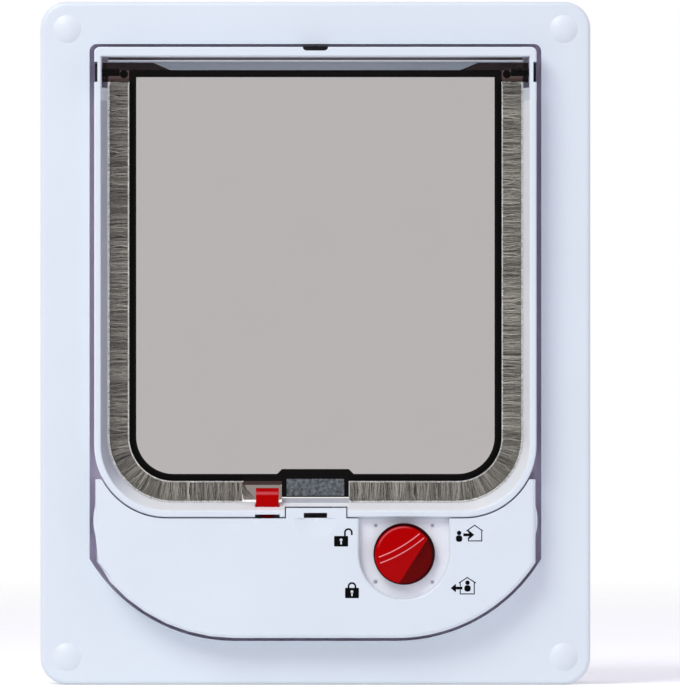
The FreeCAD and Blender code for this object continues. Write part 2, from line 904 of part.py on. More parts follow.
def add_lugs(body):
    """Two screw lugs under the sill, at the back."""
    loops = []
    for x, z in lug_places():
        half = d.lug_width / 2
        loops.append(box_loop(x - half, x + half, z - d.lug_drop / 2, frame_bottom + d.lug_rise))
    pad(body, "lugs", loops, d.recess_floor, d.lug_depth)
    hole = d.small_screw_radius + d.small_screw_play
    pocket(body, "lug_holes", [(x, z, hole) for x, z in lug_places()], d.recess_floor, d.lug_depth)


# Outdoor frame: the outside moulding with the outer tunnel

def make_exterior_frame():
    body = make_body("exterior_frame")
    face = -d.door
    outer = face - d.outdoor_depth
    play = d.tunnel_wall + d.tunnel_play
    pad(body, "plate", [plate_loop(ZERO)], outer, d.outdoor_depth)
    dress(body, "Fillet", "plate_edge_round", d.plate_edge, flat_at(outer))
    hollow = d.outdoor_depth - d.plate_wall
    wall = play + d.outdoor_tunnel_wall
    pocket(body, "rim_hollow", [plate_loop(d.plate_wall), tunnel_loop(wall)], outer + d.plate_wall, hollow)
    pad(body, "collar", [tunnel_loop(play + d.collar_width)], outer - d.collar_height,
        d.collar_height + wall_mid)
    dress(body, "Fillet", "collar_round", d.collar_height / 2, flat_at(outer - d.collar_height))
    pad(body, "tunnel", [tunnel_loop(wall)], face, d.outdoor_tunnel_length)
    hood = d.collar_height + d.plate_wall
    pocket(body, "passage", [tunnel_loop(play)], outer + d.plate_wall,
           d.outdoor_depth - d.plate_wall + d.outdoor_tunnel_length)
    pocket(body, "mouth", [mouth_loop(play)], outer - d.collar_height, hood)
    boss = d.screw_radius + d.pilot_play + d.boss_wall
    pad(body, "screw_bosses", screw_circles(boss), outer + wall_mid, hollow + wall_mid)
    bite = d.screw_bite + d.screw_hole_play
    pocket(body, "pilot_holes", screw_circles(d.screw_radius + d.pilot_play), face - bite, bite)
    return body


def mouth_loop(grow):
    """The outdoor end of the passage, with a lip at the top that keeps rain off the flap."""
    corner = bore_corner + grow
    top = rim_top + d.hood_gap
    return box_loop(-bore_half - grow, bore_half + grow, sill - grow, top, corner, None)


# Flap: one clear moulding with a grooved rim, two ears and the magnet holder

def flap_loop(shrink):
    """Outline of the flap with its ears, strike and magnet holder, or of its rim in the groove."""
    half = rim_half - shrink
    bottom = rim_bottom + shrink
    corner = rim_corner - shrink
    holder = d.holder_width / 2
    return [
        (holder, bottom), (half - corner, bottom, corner, 1), (half, bottom + corner),
        (half, ear_bottom), (ear_half, ear_bottom), (ear_half, ear_top),
        (d.ear_inner + d.ear_slope, ear_top), (d.ear_inner, rim_top),
        (-d.ear_inner, rim_top), (-d.ear_inner - d.ear_slope, ear_top),
        (-ear_half, ear_top), (-ear_half, ear_bottom), (-half, ear_bottom),
        (-half, bottom + corner, corner, 1), (-half + corner, bottom),
        (-d.strike_left, bottom), (-d.strike_left, strike_bottom), (-holder, strike_bottom),
        (-holder, holder_bottom), (holder, holder_bottom),
    ]


def pane_loop():
    half = d.pane_width / 2
    holder = d.holder_width / 2
    rise = pane_bottom + d.holder_rise
    slope = holder + d.holder_chamfer
    corner = d.pane_corner
    top = d.pane_top_corner
    return [
        (slope, pane_bottom), (half - corner, pane_bottom, corner, 1), (half, pane_bottom + corner),
        (half, pane_top - top, top, 1), (half - top, pane_top),
        (-half + top, pane_top, top, 1), (-half, pane_top - top),
        (-half, pane_bottom + corner, corner, 1), (-half + corner, pane_bottom),
        (-slope, pane_bottom), (-holder, rise), (holder, rise),
    ]


def make_flap():
    body = make_body("flap")
    cheek = (d.rim_depth - d.groove_width) / 2
    pad(body, "rim_back", [flap_loop(ZERO)], rim_back, cheek)
    pad(body, "rim_core", [flap_loop(d.groove_depth)], rim_back + cheek, d.groove_width)
    pad(body, "rim_front", [flap_loop(ZERO)], rim_front - cheek, cheek)
    pocket(body, "pane_front", [pane_loop()], pane_front, rim_front - pane_front)
    sketch = draw_all(body, "pane_back_sketch", "XZ_Plane", rim_back, [pane_loop()])
    cut_back(body, "pane_back", sketch, pane_back - rim_back)
    half = d.holder_width / 2
    holder = box_loop(-half, half, holder_bottom, pane_bottom + d.holder_rise)
    pad(body, "holder", [holder], d.flap_front - d.holder_depth / 2, d.holder_depth)
    pocket(body, "magnet_seat", [magnet_loop()], magnet_back, d.magnet_depth)
    bosses = [((rim_half + d.ear_reach - d.boss_inset) * side, ear_bottom + d.boss_rise,
               d.boss_radius) for side in SIDES]
    pad(body, "ear_bosses", bosses, rim_front - d.boss_height, d.boss_height * 2)
    for name, start in (("pin_socket_left", -ear_half), ("pin_socket_right", ear_half - d.pin_grip)):
        bore = draw_all(body, name + "_sketch", "YZ_Plane", start, [(-d.flap_front, pivot, d.pin_radius)])
        feature = body.newObject("PartDesign::Pocket", name)
        feature.Profile = bore
        feature.Reversed = True
        feature.setExpression("Length", d.pin_grip.text)
        doc.recompute()
    return body


def magnet_loop():
    half = d.magnet_width / 2
    foot = holder_bottom + d.magnet_foot
    return box_loop(-half, half, foot, foot + d.magnet_height)


def brush_path(side, end):
    """Points along the root of a brush strip, each with the way its bristles point.

    The strip runs down the side of the flap, round its corner and in along the bottom.
    """
    half = rim_half.value
    corner = rim_corner.value
    pitch = d.brush_pitch.value
    top = ear_bottom.value - d.brush_ear_gap.value
    turn_z = rim_bottom.value + corner
    turn_x = half - corner
    points = []
    steps = max(int((top - turn_z) / pitch), 1)
    points += [(half, top + (turn_z - top) * i / steps, 1.0, 0.0) for i in range(steps)]
    steps = max(int(corner * math.pi / 2 / pitch) * 2, 2)
    for i in range(steps):
        angle = math.pi / 2 * i / steps
        out = (math.cos(angle), -math.sin(angle))
        points.append((turn_x + corner * out[0], turn_z + corner * out[1], *out))
    steps = max(int((turn_x - end) / pitch), 1)
    bottom = turn_z - corner
    points += [(turn_x + (end - turn_x) * i / steps, bottom, 0.0, -1.0) for i in range(steps + 1)]
    return [(side * x, z, side * out_x, out_z) for x, z, out_x, out_z in points]


def band(path, inner, outer, ragged, front, depth):
    """Solid between two distances from the path, with a ragged outer edge."""
    root_side = [VECTOR(x + out_x * inner, -front, z + out_z * inner) for x, z, out_x, out_z in path]
    tips = []
    for index, (x, z, out_x, out_z) in enumerate(path):
        reach = outer - ragged * (index % 2)
        tips.append(VECTOR(x + out_x * reach, -front, z + out_z * reach))
    wire = Part.makePolygon(root_side + tips[::-1] + root_side[:1])
    return Part.Face(wire).extrude(VECTOR(0, -depth, 0))


def make_brush(label, side, end):
    path = brush_path(side, end)
    mid = d.flap_front.value
    spine_depth = d.brush_root_depth.value
    pile_depth = d.brush_depth.value
    spine = band(path, -d.groove_depth.value + d.spine_play.value, d.brush_root.value, 0,
                 mid - spine_depth / 2, spine_depth)
    pile = band(path, d.brush_root.value, d.brush_reach.value, d.brush_ragged.value,
                mid - pile_depth / 2, pile_depth)
    item = doc.addObject("Part::Feature", label)
    item.Label = label
    item.Shape = spine.fuse(pile).removeSplitter()
    item.Placement = FreeCAD.Placement()
    return item


def make_flap_magnet():
    half = d.magnet_width / 2
    foot = holder_bottom + d.magnet_foot
    return block("flap_magnet", -half, half, magnet_back, magnet_back + d.magnet_depth, foot,
                 foot + d.magnet_height)


def make_keeper():
    half = d.holder_width / 2
    return block("keeper_plate", -half, half, d.flap_front - d.keeper_depth / 2,
                 d.flap_front + d.keeper_depth / 2, keeper_bottom, keeper_top)


def make_pins():
    """The two pins of the hinge, each with a round head that sits in its slot of the frame."""
    tip = ear_half - d.pin_grip
    end = frame_half - d.pin_play
    head = d.pin_slot_width - d.pin_head_gap - d.pin_play
    pins = []
    for side, low, head_low in (("left", -end, -end), ("right", tip, end - head)):
        shaft = rod(f"pin_shaft_{side}", d.pin_radius, end - tip, low, -d.flap_front, pivot, "x")
        cap = rod(f"pin_head_{side}", d.pin_head_radius, head, head_low, -d.flap_front, pivot, "x")
        pins.append(join(f"hinge_pin_{side}", [shaft, cap]))
    return pins


# Cover over the battery and the coil

open_cover_side = recess_half - d.cover_side_gap - d.cover_wall


def cover_loop():
    """Outline of the cover: a tab in the middle, hollow shoulders and a wide arc below."""
    side = recess_half - d.cover_side_gap
    arc = d.recess_arc - d.cover_gap
    shoulder = d.frame_corner + d.cover_seam
    centre_x = frame_half - d.frame_corner
    centre_z = frame_bottom + d.frame_corner
    tip_z = frame_bottom + d.cover_shoulder
    tip_x = centre_x + root(shoulder * shoulder - (tip_z - centre_z) * (tip_z - centre_z))
    corner = on_circle(side, arc_x, arc_z, arc)
    tab_top = cover_top + d.tab_rise
    return [
        (arc_x, cover_bottom, arc, 1),
        (side, corner),
        (side, tip_z),
        (tip_x, tip_z, shoulder, -1),
        (centre_x, cover_top),
        (d.tab_right, cover_top),
        (d.tab_right, tab_top),
        (-d.tab_left, tab_top),
        (-d.tab_left, cover_top),
        (-centre_x, cover_top, shoulder, -1),
        (-tip_x, tip_z),
        (-side, tip_z),
        (-side, corner, arc, 1),
        (-arc_x, cover_bottom),
    ]


def grip_loops():
    """The two shallow swellings at the sides that the fingers pull on."""
    side = recess_half - d.cover_side_gap
    top = frame_bottom + d.grip_rise
    low = top - d.grip_length
    inner = side - d.cover_wall / 2
    swell = (d.grip_length * d.grip_length / 4 + d.grip_bulge * d.grip_bulge) / (d.grip_bulge * 2)
    right = [(inner, low), (side, low, swell, 1), (side, top), (inner, top)]
    left = [(-inner, top), (-side, top, swell, 1), (-side, low), (-inner, low)]
    return [right, left]


def hollow_loop():
    """Inside of the cover, open at the top where it meets the inner frame."""
    side = open_cover_side
    arc = d.recess_arc - d.cover_gap - d.cover_wall
    corner = on_circle(side, arc_x, arc_z, arc)
    top = frame_bottom + d.frame_corner
    return [
        (arc_x, cover_bottom + d.cover_wall, arc, 1),
        (side, corner),
        (side, top),
        (-side, top),
        (-side, corner, arc, 1),
        (-arc_x, cover_bottom + d.cover_wall),
    ]


def make_cover():
    body = make_body("battery_cover")
    back = d.recess_floor + d.cover_back_gap
    pad(body, "cover", [cover_loop()], back, d.cover_front - back)
    dress(body, "Fillet", "cover_round", d.cover_edge, cover_edge_test)
    pad(body, "grips", grip_loops(), back, d.cover_front - d.cover_edge - back)
    inside = d.cover_front - d.cover_wall - back
    sketch = draw_all(body, "hollow_sketch", "XZ_Plane", back, [hollow_loop()])
    cut_back(body, "hollow", sketch, inside)
    rim_from = well_front + d.well_gap
    pad(body, "notch_rim", [notch_loop(d.well_rim, ZERO)], rim_from,
        d.cover_front - d.cover_wall / 2 - rim_from)
    pocket(body, "notch", [notch_loop(ZERO, d.cover_shoulder)], back, d.cover_front - back)
    dress(body, "Fillet", "notch_round", d.notch_edge, notch_edge_test)
    half = d.slot_width / 2
    slot_top = cover_top + d.slot_drop
    pocket(body, "slot", [box_loop(-half, half, slot_top - d.slot_height, slot_top)],
           d.cover_front - d.cover_wall, d.cover_wall)
    cut_scoop(body, slot_top - d.slot_height)
    return body


def cut_scoop(body, level):
    """Cut half a shallow dish for a fingertip, from the slot down."""
    sketch = place_sketch(body, "scoop_sketch", "YZ_Plane", ZERO)
    over = d.cover_front + d.scoop_depth
    foot = level - d.scoop_radius
    curve = (d.scoop_radius * d.scoop_radius + d.scoop_depth * d.scoop_depth) / (d.scoop_depth * 2)
    draw_loop(sketch, [(-over, level), (d.scoop_depth - d.cover_front, level, curve, -1),
                       (-d.cover_front, foot), (-over, foot)])
    height = level.value
    sketch.addGeometry([Part.LineSegment(VECTOR(0, height, 0), VECTOR(1, height, 0))], True)
    before = body.Shape.Volume
    feature = body.newObject("PartDesign::Groove", "scoop")
    feature.Profile = sketch
    feature.ReferenceAxis = (sketch, ["Axis0"])
    feature.Midplane = True
    feature.Angle = HALF_TURN
    doc.recompute()
    if body.Shape.Volume > before - TOUCH:
        raise RuntimeError("scoop cuts nothing")


def cover_edge_test(box):
    """The front edges at the sides and the bottom, without the seam at the top."""
    beside = max(abs(box.XMin), abs(box.XMax)) - box.XLength > open_cover_side.value
    return flat_at(d.cover_front)(box) and (beside or box.ZMax < knob_z.value)


def notch_edge_test(box):
    """The front edges of the notch round the knob."""
    reach = d.well_radius.value + TOUCH
    beside = max(abs(box.XMin - d.knob_x.value), abs(box.XMax - d.knob_x.value))
    return flat_at(d.cover_front)(box) and beside < reach and box.ZMin > knob_z.value - reach


def notch_loop(grow, above):
    radius = d.well_radius + grow
    top = cover_top + above
    return [
        (d.knob_x - radius, knob_z, radius, 1),
        (d.knob_x, knob_z - radius, radius, 1),
        (d.knob_x + radius, knob_z),
        (d.knob_x + radius, top),
        (d.knob_x - radius, top),
    ]


# Lock knob, shaft and exit arms

knob_back = well_front + d.knob_play
knob_front = knob_back + d.knob_height
knob_reach = d.knob_radius + d.knob_over


def turned(body, angle=ZERO):
    """Set a body that is modelled round its own axis on the axis of the lock."""
    body.Placement = FreeCAD.Placement(VECTOR(), FreeCAD.Rotation(VECTOR(0, 1, 0), angle.value))
    body.setExpression("Placement.Base.x", d.knob_x.text)
    body.setExpression("Placement.Base.z", knob_z.text)
    return body


def make_knob():
    """The knob is modelled with its ridge level, and turned in place afterwards."""
    body = make_body("lock_knob")
    pad(body, "knob", [(ZERO, ZERO, d.knob_radius)], knob_back, d.knob_height)
    dress(body, "Fillet", "knob_round", d.knob_dome, flat_at(knob_front))
    top = d.ridge_offset + d.ridge_width / 2
    low = d.ridge_offset - d.ridge_width / 2
    slope_round(body, "crest", top, knob_reach, d.crest_fall)
    slope_round(body, "grip", low, -knob_reach, d.grip_fall)
    cut_facet(body)
    pocket(body, "socket", [(ZERO, ZERO, d.shaft_radius + d.socket_play)], knob_back, d.knob_socket)
    return turned(body, -d.ridge_tilt)


def slope_round(body, name, near, far, fall):
    """Cut a slope that starts at the edge of the ridge and follows its curve."""
    sketch = place_sketch(body, name + "_sketch", "YZ_Plane", ZERO)
    over = knob_front + d.knob_dome
    corners = [(-knob_front, near), (-over, near), (-over, far), (fall - knob_front, far)]
    draw_loop(sketch, corners if near.value > far.value else corners[::-1])
    centre = d.ridge_radius.value
    sketch.addGeometry([Part.LineSegment(VECTOR(0, centre, 0), VECTOR(1, centre, 0))], True)
    before = body.Shape.Volume
    feature = body.newObject("PartDesign::Groove", name)
    feature.Profile = sketch
    feature.ReferenceAxis = (sketch, ["Axis0"])
    feature.Midplane = True
    feature.setExpression("Angle", d.ridge_turn.text)
    doc.recompute()
    if body.Shape.Volume > before - TOUCH:
        raise RuntimeError(f"{name} cuts nothing")


def cut_facet(body):
    """Cut the flat face at one side of the grip, square to its own direction."""
    sketch = place_sketch(body, "facet_sketch", "YZ_Plane", ZERO)
    turn = FreeCAD.Rotation(VECTOR(1, 0, 0), -d.facet_tilt.value)
    sketch.AttachmentOffset = FreeCAD.Placement(VECTOR(), turn)
    near = -d.facet_offset
    over = knob_front + d.knob_dome
    start = knob_front - d.grip_fall / 2
    draw_loop(sketch, [(-over, near), (-start, near), (d.facet_fall - start, -knob_reach),
                       (-over, -knob_reach)])
    before = body.Shape.Volume
    feature = body.newObject("PartDesign::Pocket", "facet")
    feature.Profile = sketch
    feature.Midplane = True
    feature.setExpression("Length", (knob_reach * 2).text)
    doc.recompute()
    if body.Shape.Volume > before - TOUCH:
        raise RuntimeError("facet cuts nothing")


def make_shaft():
    body = make_body("lock_shaft")
    centre = (ZERO, ZERO)
    pad(body, "shaft", [(*centre, d.shaft_radius)], arm_back, knob_back + d.knob_socket - arm_back)
    half = d.arm_width / 2
    reach = d.arm_length - half
    arms = [
        (-reach, -half), (reach, -half, half, 1), (d.arm_length, ZERO, half, 1), (reach, half),
        (-reach, half, half, 1), (-d.arm_length, ZERO, half, 1),
    ]
    pad(body, "arms", [arms], arm_back, d.arm_depth)
    pad(body, "tail", [(*centre, d.tail_radius)], arm_back - d.tail_length,
        d.tail_length + d.arm_depth / 2)
    return turned(body)


# Entry latch, its plunger and its coil

def make_latch():
    body = make_body("entry_latch")
    half = d.latch_width / 2
    sketch = place_sketch(body, "head_sketch", "YZ_Plane", d.latch_x)
    draw_loop(sketch, [
        (-latch_back, head_bottom), (-latch_back, latch_top),
        (d.latch_round - latch_front, latch_top, d.latch_round, 1),
        (-latch_front, latch_top - d.latch_round), (-latch_front, head_bottom),
    ])
    feature = body.newObject("PartDesign::Pad", "head")
    feature.Profile = sketch
    feature.Midplane = True
    feature.setExpression("Length", (half * 2).text)
    doc.recompute()
    stem = box_loop(d.latch_x - d.stem_width / 2, d.latch_x + d.stem_width / 2,
                    -latch_mid - d.stem_depth / 2, -latch_mid + d.stem_depth / 2)
    pad(body, "stem", [stem], collar_z1 - d.stem_collar_height / 2,
        d.stem_length + d.stem_collar_height, "XY_Plane")
    pad(body, "collar", [(d.latch_x, -latch_mid, d.stem_collar_radius)], collar_z0,
        d.stem_collar_height, "XY_Plane")
    return body


def make_plunger():
    return rod("latch_plunger", d.plunger_radius, d.plunger_length, d.latch_x, -latch_mid,
               collar_z0 - d.plunger_length)


def make_bobbin():
    body = make_body("coil_bobbin")
    centre = (d.latch_x, -latch_mid)
    inner = d.plunger_radius + d.bobbin_bore_play
    pad(body, "tube", [(*centre, inner + d.bobbin_wall)], bobbin_z0, d.bobbin_length, "XY_Plane")
    for name, level in (("lower_flange", bobbin_z0), ("upper_flange", bobbin_z1 - d.bobbin_flange)):
        pad(body, name, [(*centre, d.bobbin_radius)], level, d.bobbin_flange, "XY_Plane")
    pocket(body, "bore", [(*centre, inner)], bobbin_z0, d.bobbin_length, "XY_Plane")
    return body


def make_coil():
    body = make_body("latch_coil")
    centre = (d.latch_x, -latch_mid)
    inner = d.plunger_radius + d.bobbin_bore_play + d.bobbin_wall + d.coil_gap / 2
    low = bobbin_z0 + d.bobbin_flange + d.coil_gap
    high = bobbin_z1 - d.bobbin_flange - d.coil_gap
    pad(body, "winding", [(*centre, d.coil_radius), (*centre, inner)], low, high - low, "XY_Plane")
    return body


def make_yoke():
    body = make_body("coil_yoke")
    half = d.yoke_width / 2
    sketch = place_sketch(body, "side_view", "YZ_Plane", d.latch_x)
    back = yoke_back + d.yoke_wall
    front = latch_mid + d.bobbin_radius - d.yoke_gap
    draw_loop(sketch, [
        (-yoke_back, yoke_z0), (-yoke_back, yoke_z1), (-front, yoke_z1), (-front, yoke_z1 - d.yoke_wall),
        (-back, yoke_z1 - d.yoke_wall), (-back, yoke_z0 + d.yoke_wall),
        (-front, yoke_z0 + d.yoke_wall), (-front, yoke_z0),
    ])
    feature = body.newObject("PartDesign::Pad", "yoke")
    feature.Profile = sketch
    feature.Midplane = True
    feature.setExpression("Length", (half * 2).text)
    doc.recompute()
    hole = d.plunger_radius + d.yoke_play
    pocket(body, "plunger_hole", [(d.latch_x, -latch_mid, hole)], yoke_z0, yoke_z1 - yoke_z0, "XY_Plane")
    return body


def make_spring():
    """Coil spring round the stem, between the sill and the collar."""
    low = collar_z1.value + d.spring_seat.value + d.spring_wire.value
    high = frame_bottom.value - d.spring_seat.value - d.spring_wire.value
    height = high - low
    helix = Part.makeHelix(height / d.spring_turns.value, height, d.spring_radius.value)
    start = VECTOR(d.spring_radius.value, 0, 0)
    section = Part.Wire([Part.makeCircle(d.spring_wire.value, start, VECTOR(0, 1, 0))])
    item = doc.addObject("Part::Feature", "latch_spring")
    item.Label = "latch_spring"
    item.Shape = Part.Wire(helix).makePipeShell([section], True, True)
    item.Placement = FreeCAD.Placement(VECTOR(d.latch_x.value, -latch_mid.value, low), FreeCAD.Rotation())
    return item


# Battery, contacts and circuit board

def make_battery():
    body = make_body("battery")
    corner = d.battery_corner
    front = battery_back + d.battery_depth
    sketch = place_sketch(body, "end_view", "YZ_Plane", battery_x0)
    draw_loop(sketch, box_loop(-front, -battery_back, battery_z0, battery_z1, corner, corner))
    feature = body.newObject("PartDesign::Pad", "can")
    feature.Profile = sketch
    feature.setExpression("Length", d.battery_length.text)
    doc.recompute()
    middle = (battery_z0 + battery_z1) / 2
    centre = -(battery_back + front) / 2
    studs = [(centre, middle + d.stud_spread / 2, d.stud_small), (centre, middle - d.stud_spread / 2,
             d.stud_large)]
    pad(body, "studs", studs, stud_x, d.stud_length + corner, "YZ_Plane")
    return body


clip_z0 = (battery_z0 + battery_z1) / 2 - d.clip_height / 2
clip_z1 = battery_z1 - d.rib_gap
clip_back = battery_back + (d.battery_depth - d.clip_depth) / 2
clip_x0 = stud_x - d.clip_length


def make_clip():
    return block("battery_clip", clip_x0, stud_x, clip_back, clip_back + d.clip_depth, clip_z0, clip_z1)


def make_strips():
    """Two flat strips along the floor, from the battery clip to the board."""
    strips = []
    for name, step in (("contact_strip_positive", 0), ("contact_strip_negative", 1)):
        body = make_body(name)
        high = clip_z1 - d.strip_inset - d.strip_pitch * step
        x0 = clip_x0 + d.rib
        x1 = board_x0 + d.rib
        thick = d.strip_depth
        floor = d.recess_floor
        sketch = place_sketch(body, name + "_edge", "XY_Plane", high - d.strip_width)
        draw_loop(sketch, [
            (x0, -clip_back), (x0 + thick, -clip_back), (x0 + thick, -floor - thick),
            (x1 - thick, -floor - thick), (x1 - thick, -board_back), (x1, -board_back),
            (x1, -floor), (x0, -floor),
        ][::-1])
        feature = body.newObject("PartDesign::Pad", name + "_bend")
        feature.Profile = sketch
        feature.setExpression("Length", d.strip_width.text)
        strips.append(body)
    doc.recompute()
    return strips


def make_board():
    body = make_body("circuit_board")
    pad(body, "board", [box_loop(board_x0, board_x1, board_z0, board_z1)], board_back, d.board_depth)
    hole = d.small_screw_radius + d.small_screw_play
    pocket(body, "holes", [(x, z, hole) for x, z in board_screws()], board_back, d.board_depth)
    return body


def make_components():
    middle = (board_x0 + board_x1) / 2
    level = (board_z0 + board_z1) / 2
    chip = block("control_chip", middle - d.chip_width / 2, middle + d.chip_width / 2, board_front,
                 board_front + d.chip_depth, level - d.chip_height / 2, level + d.chip_height / 2)
    capacitor_x = board_x1 - d.capacitor_radius - d.capacitor_edge
    capacitor = rod("capacitor", d.capacitor_radius, d.capacitor_length, capacitor_x,
                    -board_front - d.capacitor_radius, board_z0 + d.board_inset)
    reed = rod("magnet_sensor", d.reed_radius, d.reed_length, middle - d.reed_length / 2,
               -board_front - d.reed_radius, level + d.chip_height, "x")
    return [chip, capacitor, reed]


# Screws and caps

def make_screw(label, x, z, under_head, length, radius, head_radius, head_height):
    head = rod(label + "_head", head_radius, head_height, x, -under_head - head_height, z, "y")
    shank = rod(label + "_shank", radius, length, x, -under_head, z, "y")
    return join(label, [head, shank])


def make_screws():
    screws = []
    length = d.screw_seat + d.door + d.screw_bite
    for index, (sx, sz) in enumerate(CORNERS, start=1):
        screws.append(make_screw(f"fixing_screw_{index}", screw_x * sx, screw_z * sz, d.screw_seat,
                                 length, d.screw_radius, d.screw_head_radius, d.screw_head_height))
    for kind, places, seat in (("frame", lug_places(), d.recess_floor + d.lug_depth),
                               ("board", board_screws(), board_front)):
        for index, (x, z) in enumerate(places, start=1):
            screws.append(make_screw(f"{kind}_screw_{index}", x, z, seat, d.small_screw_length,
                                     d.small_screw_radius, d.small_screw_head,
                                     d.small_screw_head_height))
    return screws


def make_caps():
    """Push-in caps over the screw heads, each a low dome on a plug."""
    caps = []
    plug = cap_bore - d.cap_play
    front = d.plate_depth
    crown = (d.cap_radius * d.cap_radius + d.cap_height * d.cap_height) / (d.cap_height * 2)
    for index, (sx, sz) in enumerate(CORNERS, start=1):
        body = make_body(f"screw_cap_{index}")
        sketch = place_sketch(body, "section", "YZ_Plane", ZERO)
        draw_loop(sketch, [
            (d.cap_plug - front, ZERO), (d.cap_plug - front, plug), (-front, plug),
            (-front, d.cap_radius, crown, 1), (-front - d.cap_height, ZERO),
        ])
        feature = body.newObject("PartDesign::Revolution", "cap")
        feature.Profile = sketch
        feature.ReferenceAxis = (sketch, ["H_Axis"])
        feature.Angle = HALF_TURN * 2
        body.setExpression("Placement.Base.x", (screw_x * sx).text)
        body.setExpression("Placement.Base.z", (screw_z * sz).text)
        caps.append(body)
    doc.recompute()
    return caps


def export(parts):
    """Check every object, then write each part to its own file."""
    doc.recompute()
    for item in doc.Objects:
        if "Invalid" in item.State or "Error" in item.State:
            raise RuntimeError(f"{item.Name} failed: {item.State}")
    for item in parts:
        if item.Shape.isNull() or not item.Shape.isValid():
            raise RuntimeError(f"{item.Label} has no valid shape")
    os.makedirs("parts", exist_ok=True)
    for item in parts:
        item.Shape.exportStep(f"parts/{item.Label}.step")
        box = item.Shape.BoundBox
        print(item.Label, len(item.Shape.Solids), round(item.Shape.Volume),
              [round(v, 2) for v in (box.XMin, box.XMax, box.YMin, box.YMax, box.ZMin, box.ZMax)])


parts = [make_interior_plate(), make_inner_frame(), make_exterior_frame(), make_flap()]
parts += [make_brush("brush_strip_left", -1, d.brush_left_end.value)]
parts += [make_brush("brush_strip_right", 1, d.brush_right_end.value)]
parts += [make_flap_magnet(), make_keeper(), *make_pins(), make_cover(), make_knob(), make_shaft()]
parts += [make_latch(), make_plunger(), make_bobbin(), make_coil(), make_yoke(), make_spring()]
parts += [make_battery(), make_clip(), *make_strips(), make_board(), *make_components()]
parts += [*make_screws(), *make_caps()]
export(parts)
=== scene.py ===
# %% [markdown]
# # Dressing a cat flap
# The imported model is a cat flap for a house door: a white plate and frame, a smoked clear flap with a brush
# round it, a red lock knob and a red latch. Its solids are fixed, so this lesson never moves them.
# We give every solid a finish, and build what a solid can't show: the bristles and the printed marks.
# All sizes are in metres. X is to the right, Y goes into the door, and Z is up.

# %% Load the frame
import math
import random

import bpy
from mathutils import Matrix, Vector


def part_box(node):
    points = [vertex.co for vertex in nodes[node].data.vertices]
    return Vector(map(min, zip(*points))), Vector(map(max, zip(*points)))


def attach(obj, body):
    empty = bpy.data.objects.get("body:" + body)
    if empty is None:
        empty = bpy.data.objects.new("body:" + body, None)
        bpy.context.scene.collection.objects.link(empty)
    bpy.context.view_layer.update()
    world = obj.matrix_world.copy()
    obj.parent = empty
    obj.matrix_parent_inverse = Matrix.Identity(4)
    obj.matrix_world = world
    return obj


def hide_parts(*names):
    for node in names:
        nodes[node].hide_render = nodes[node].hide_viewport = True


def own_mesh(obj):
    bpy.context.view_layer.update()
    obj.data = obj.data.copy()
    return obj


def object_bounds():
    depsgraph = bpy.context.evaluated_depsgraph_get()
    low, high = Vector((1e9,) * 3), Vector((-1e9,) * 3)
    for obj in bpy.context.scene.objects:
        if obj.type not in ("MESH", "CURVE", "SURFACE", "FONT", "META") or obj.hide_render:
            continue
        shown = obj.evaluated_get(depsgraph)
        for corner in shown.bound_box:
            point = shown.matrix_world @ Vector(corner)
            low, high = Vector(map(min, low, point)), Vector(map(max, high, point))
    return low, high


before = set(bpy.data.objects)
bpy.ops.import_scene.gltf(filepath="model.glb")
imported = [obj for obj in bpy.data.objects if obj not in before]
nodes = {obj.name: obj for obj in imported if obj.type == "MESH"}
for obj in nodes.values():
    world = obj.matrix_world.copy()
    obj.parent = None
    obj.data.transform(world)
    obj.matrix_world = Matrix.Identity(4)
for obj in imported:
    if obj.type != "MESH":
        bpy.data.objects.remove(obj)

cad_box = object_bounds()
MM = 0.001
print("nodes:", len(nodes), "- box in mm:", [round(v / MM, 1) for corner in cad_box for v in corner])

# %% [markdown]
# ## The camera
# The photograph looks straight at the plate from far away, so nothing is foreshortened much.
# A camera could be aimed by eye, but here the scale is known: so many pixels of the picture cover one millimetre
# of the plate. From that scale and a chosen distance follows the lens, and a small shift moves the plate a little
# to the left of the middle, as it is in the photograph.

# %% Camera at the photograph's place
PICTURE_WIDTH, PICTURE_HEIGHT = 680, 698
PIXELS_PER_METRE = 2331.0
PLATE_CENTRE_PX = (315.4, 343.0)
CAMERA_DISTANCE = 5.0
SENSOR = 36.0

plate_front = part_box("interior_plate")[0].y
view_height = PICTURE_HEIGHT / PIXELS_PER_METRE

bpy.ops.object.camera_add(location=(0, plate_front - CAMERA_DISTANCE, 0), rotation=(math.pi / 2, 0, 0))
camera = bpy.context.object
camera.data.sensor_width = SENSOR
camera.data.lens = SENSOR * CAMERA_DISTANCE / view_height
camera.data.shift_x = (PICTURE_WIDTH / 2 - PLATE_CENTRE_PX[0]) / PICTURE_HEIGHT
camera.data.shift_y = (PLATE_CENTRE_PX[1] - PICTURE_HEIGHT / 2) / PICTURE_HEIGHT
bpy.context.scene.camera = camera
bpy.context.scene.view_settings.view_transform = "Standard"
print("lens in mm:", round(camera.data.lens, 1))

# %% [markdown]
# ## The light
# Product photographs use one large soft lamp and a weaker one that opens the shadows. A small lamp would give hard
# shadow edges, so both lamps here are wide panels. The first stands high at the left, because the photograph's
# shadows fall to the lower right. Each panel is turned to the object by the direction between the two.

# %% Two soft lamps
def add_panel(name, place, size, power, tint):
    turn = (-Vector(place)).to_track_quat("-Z", "Y").to_euler()
    bpy.ops.object.light_add(type="AREA", location=place, rotation=turn)
    lamp = bpy.context.object
    lamp.name = name
    lamp.data.size = size
    lamp.data.energy = power
    lamp.data.color = tint
    print("lamp:", name, power, "W")


add_panel("key_panel", place=(-0.95, -1.35, 1.55), size=1.1, power=28.0, tint=(0.97, 1.0, 0.95))
add_panel("fill_panel", place=(1.9, -1.3, 1.1), size=1.4, power=7.0, tint=(1.0, 0.95, 0.97))

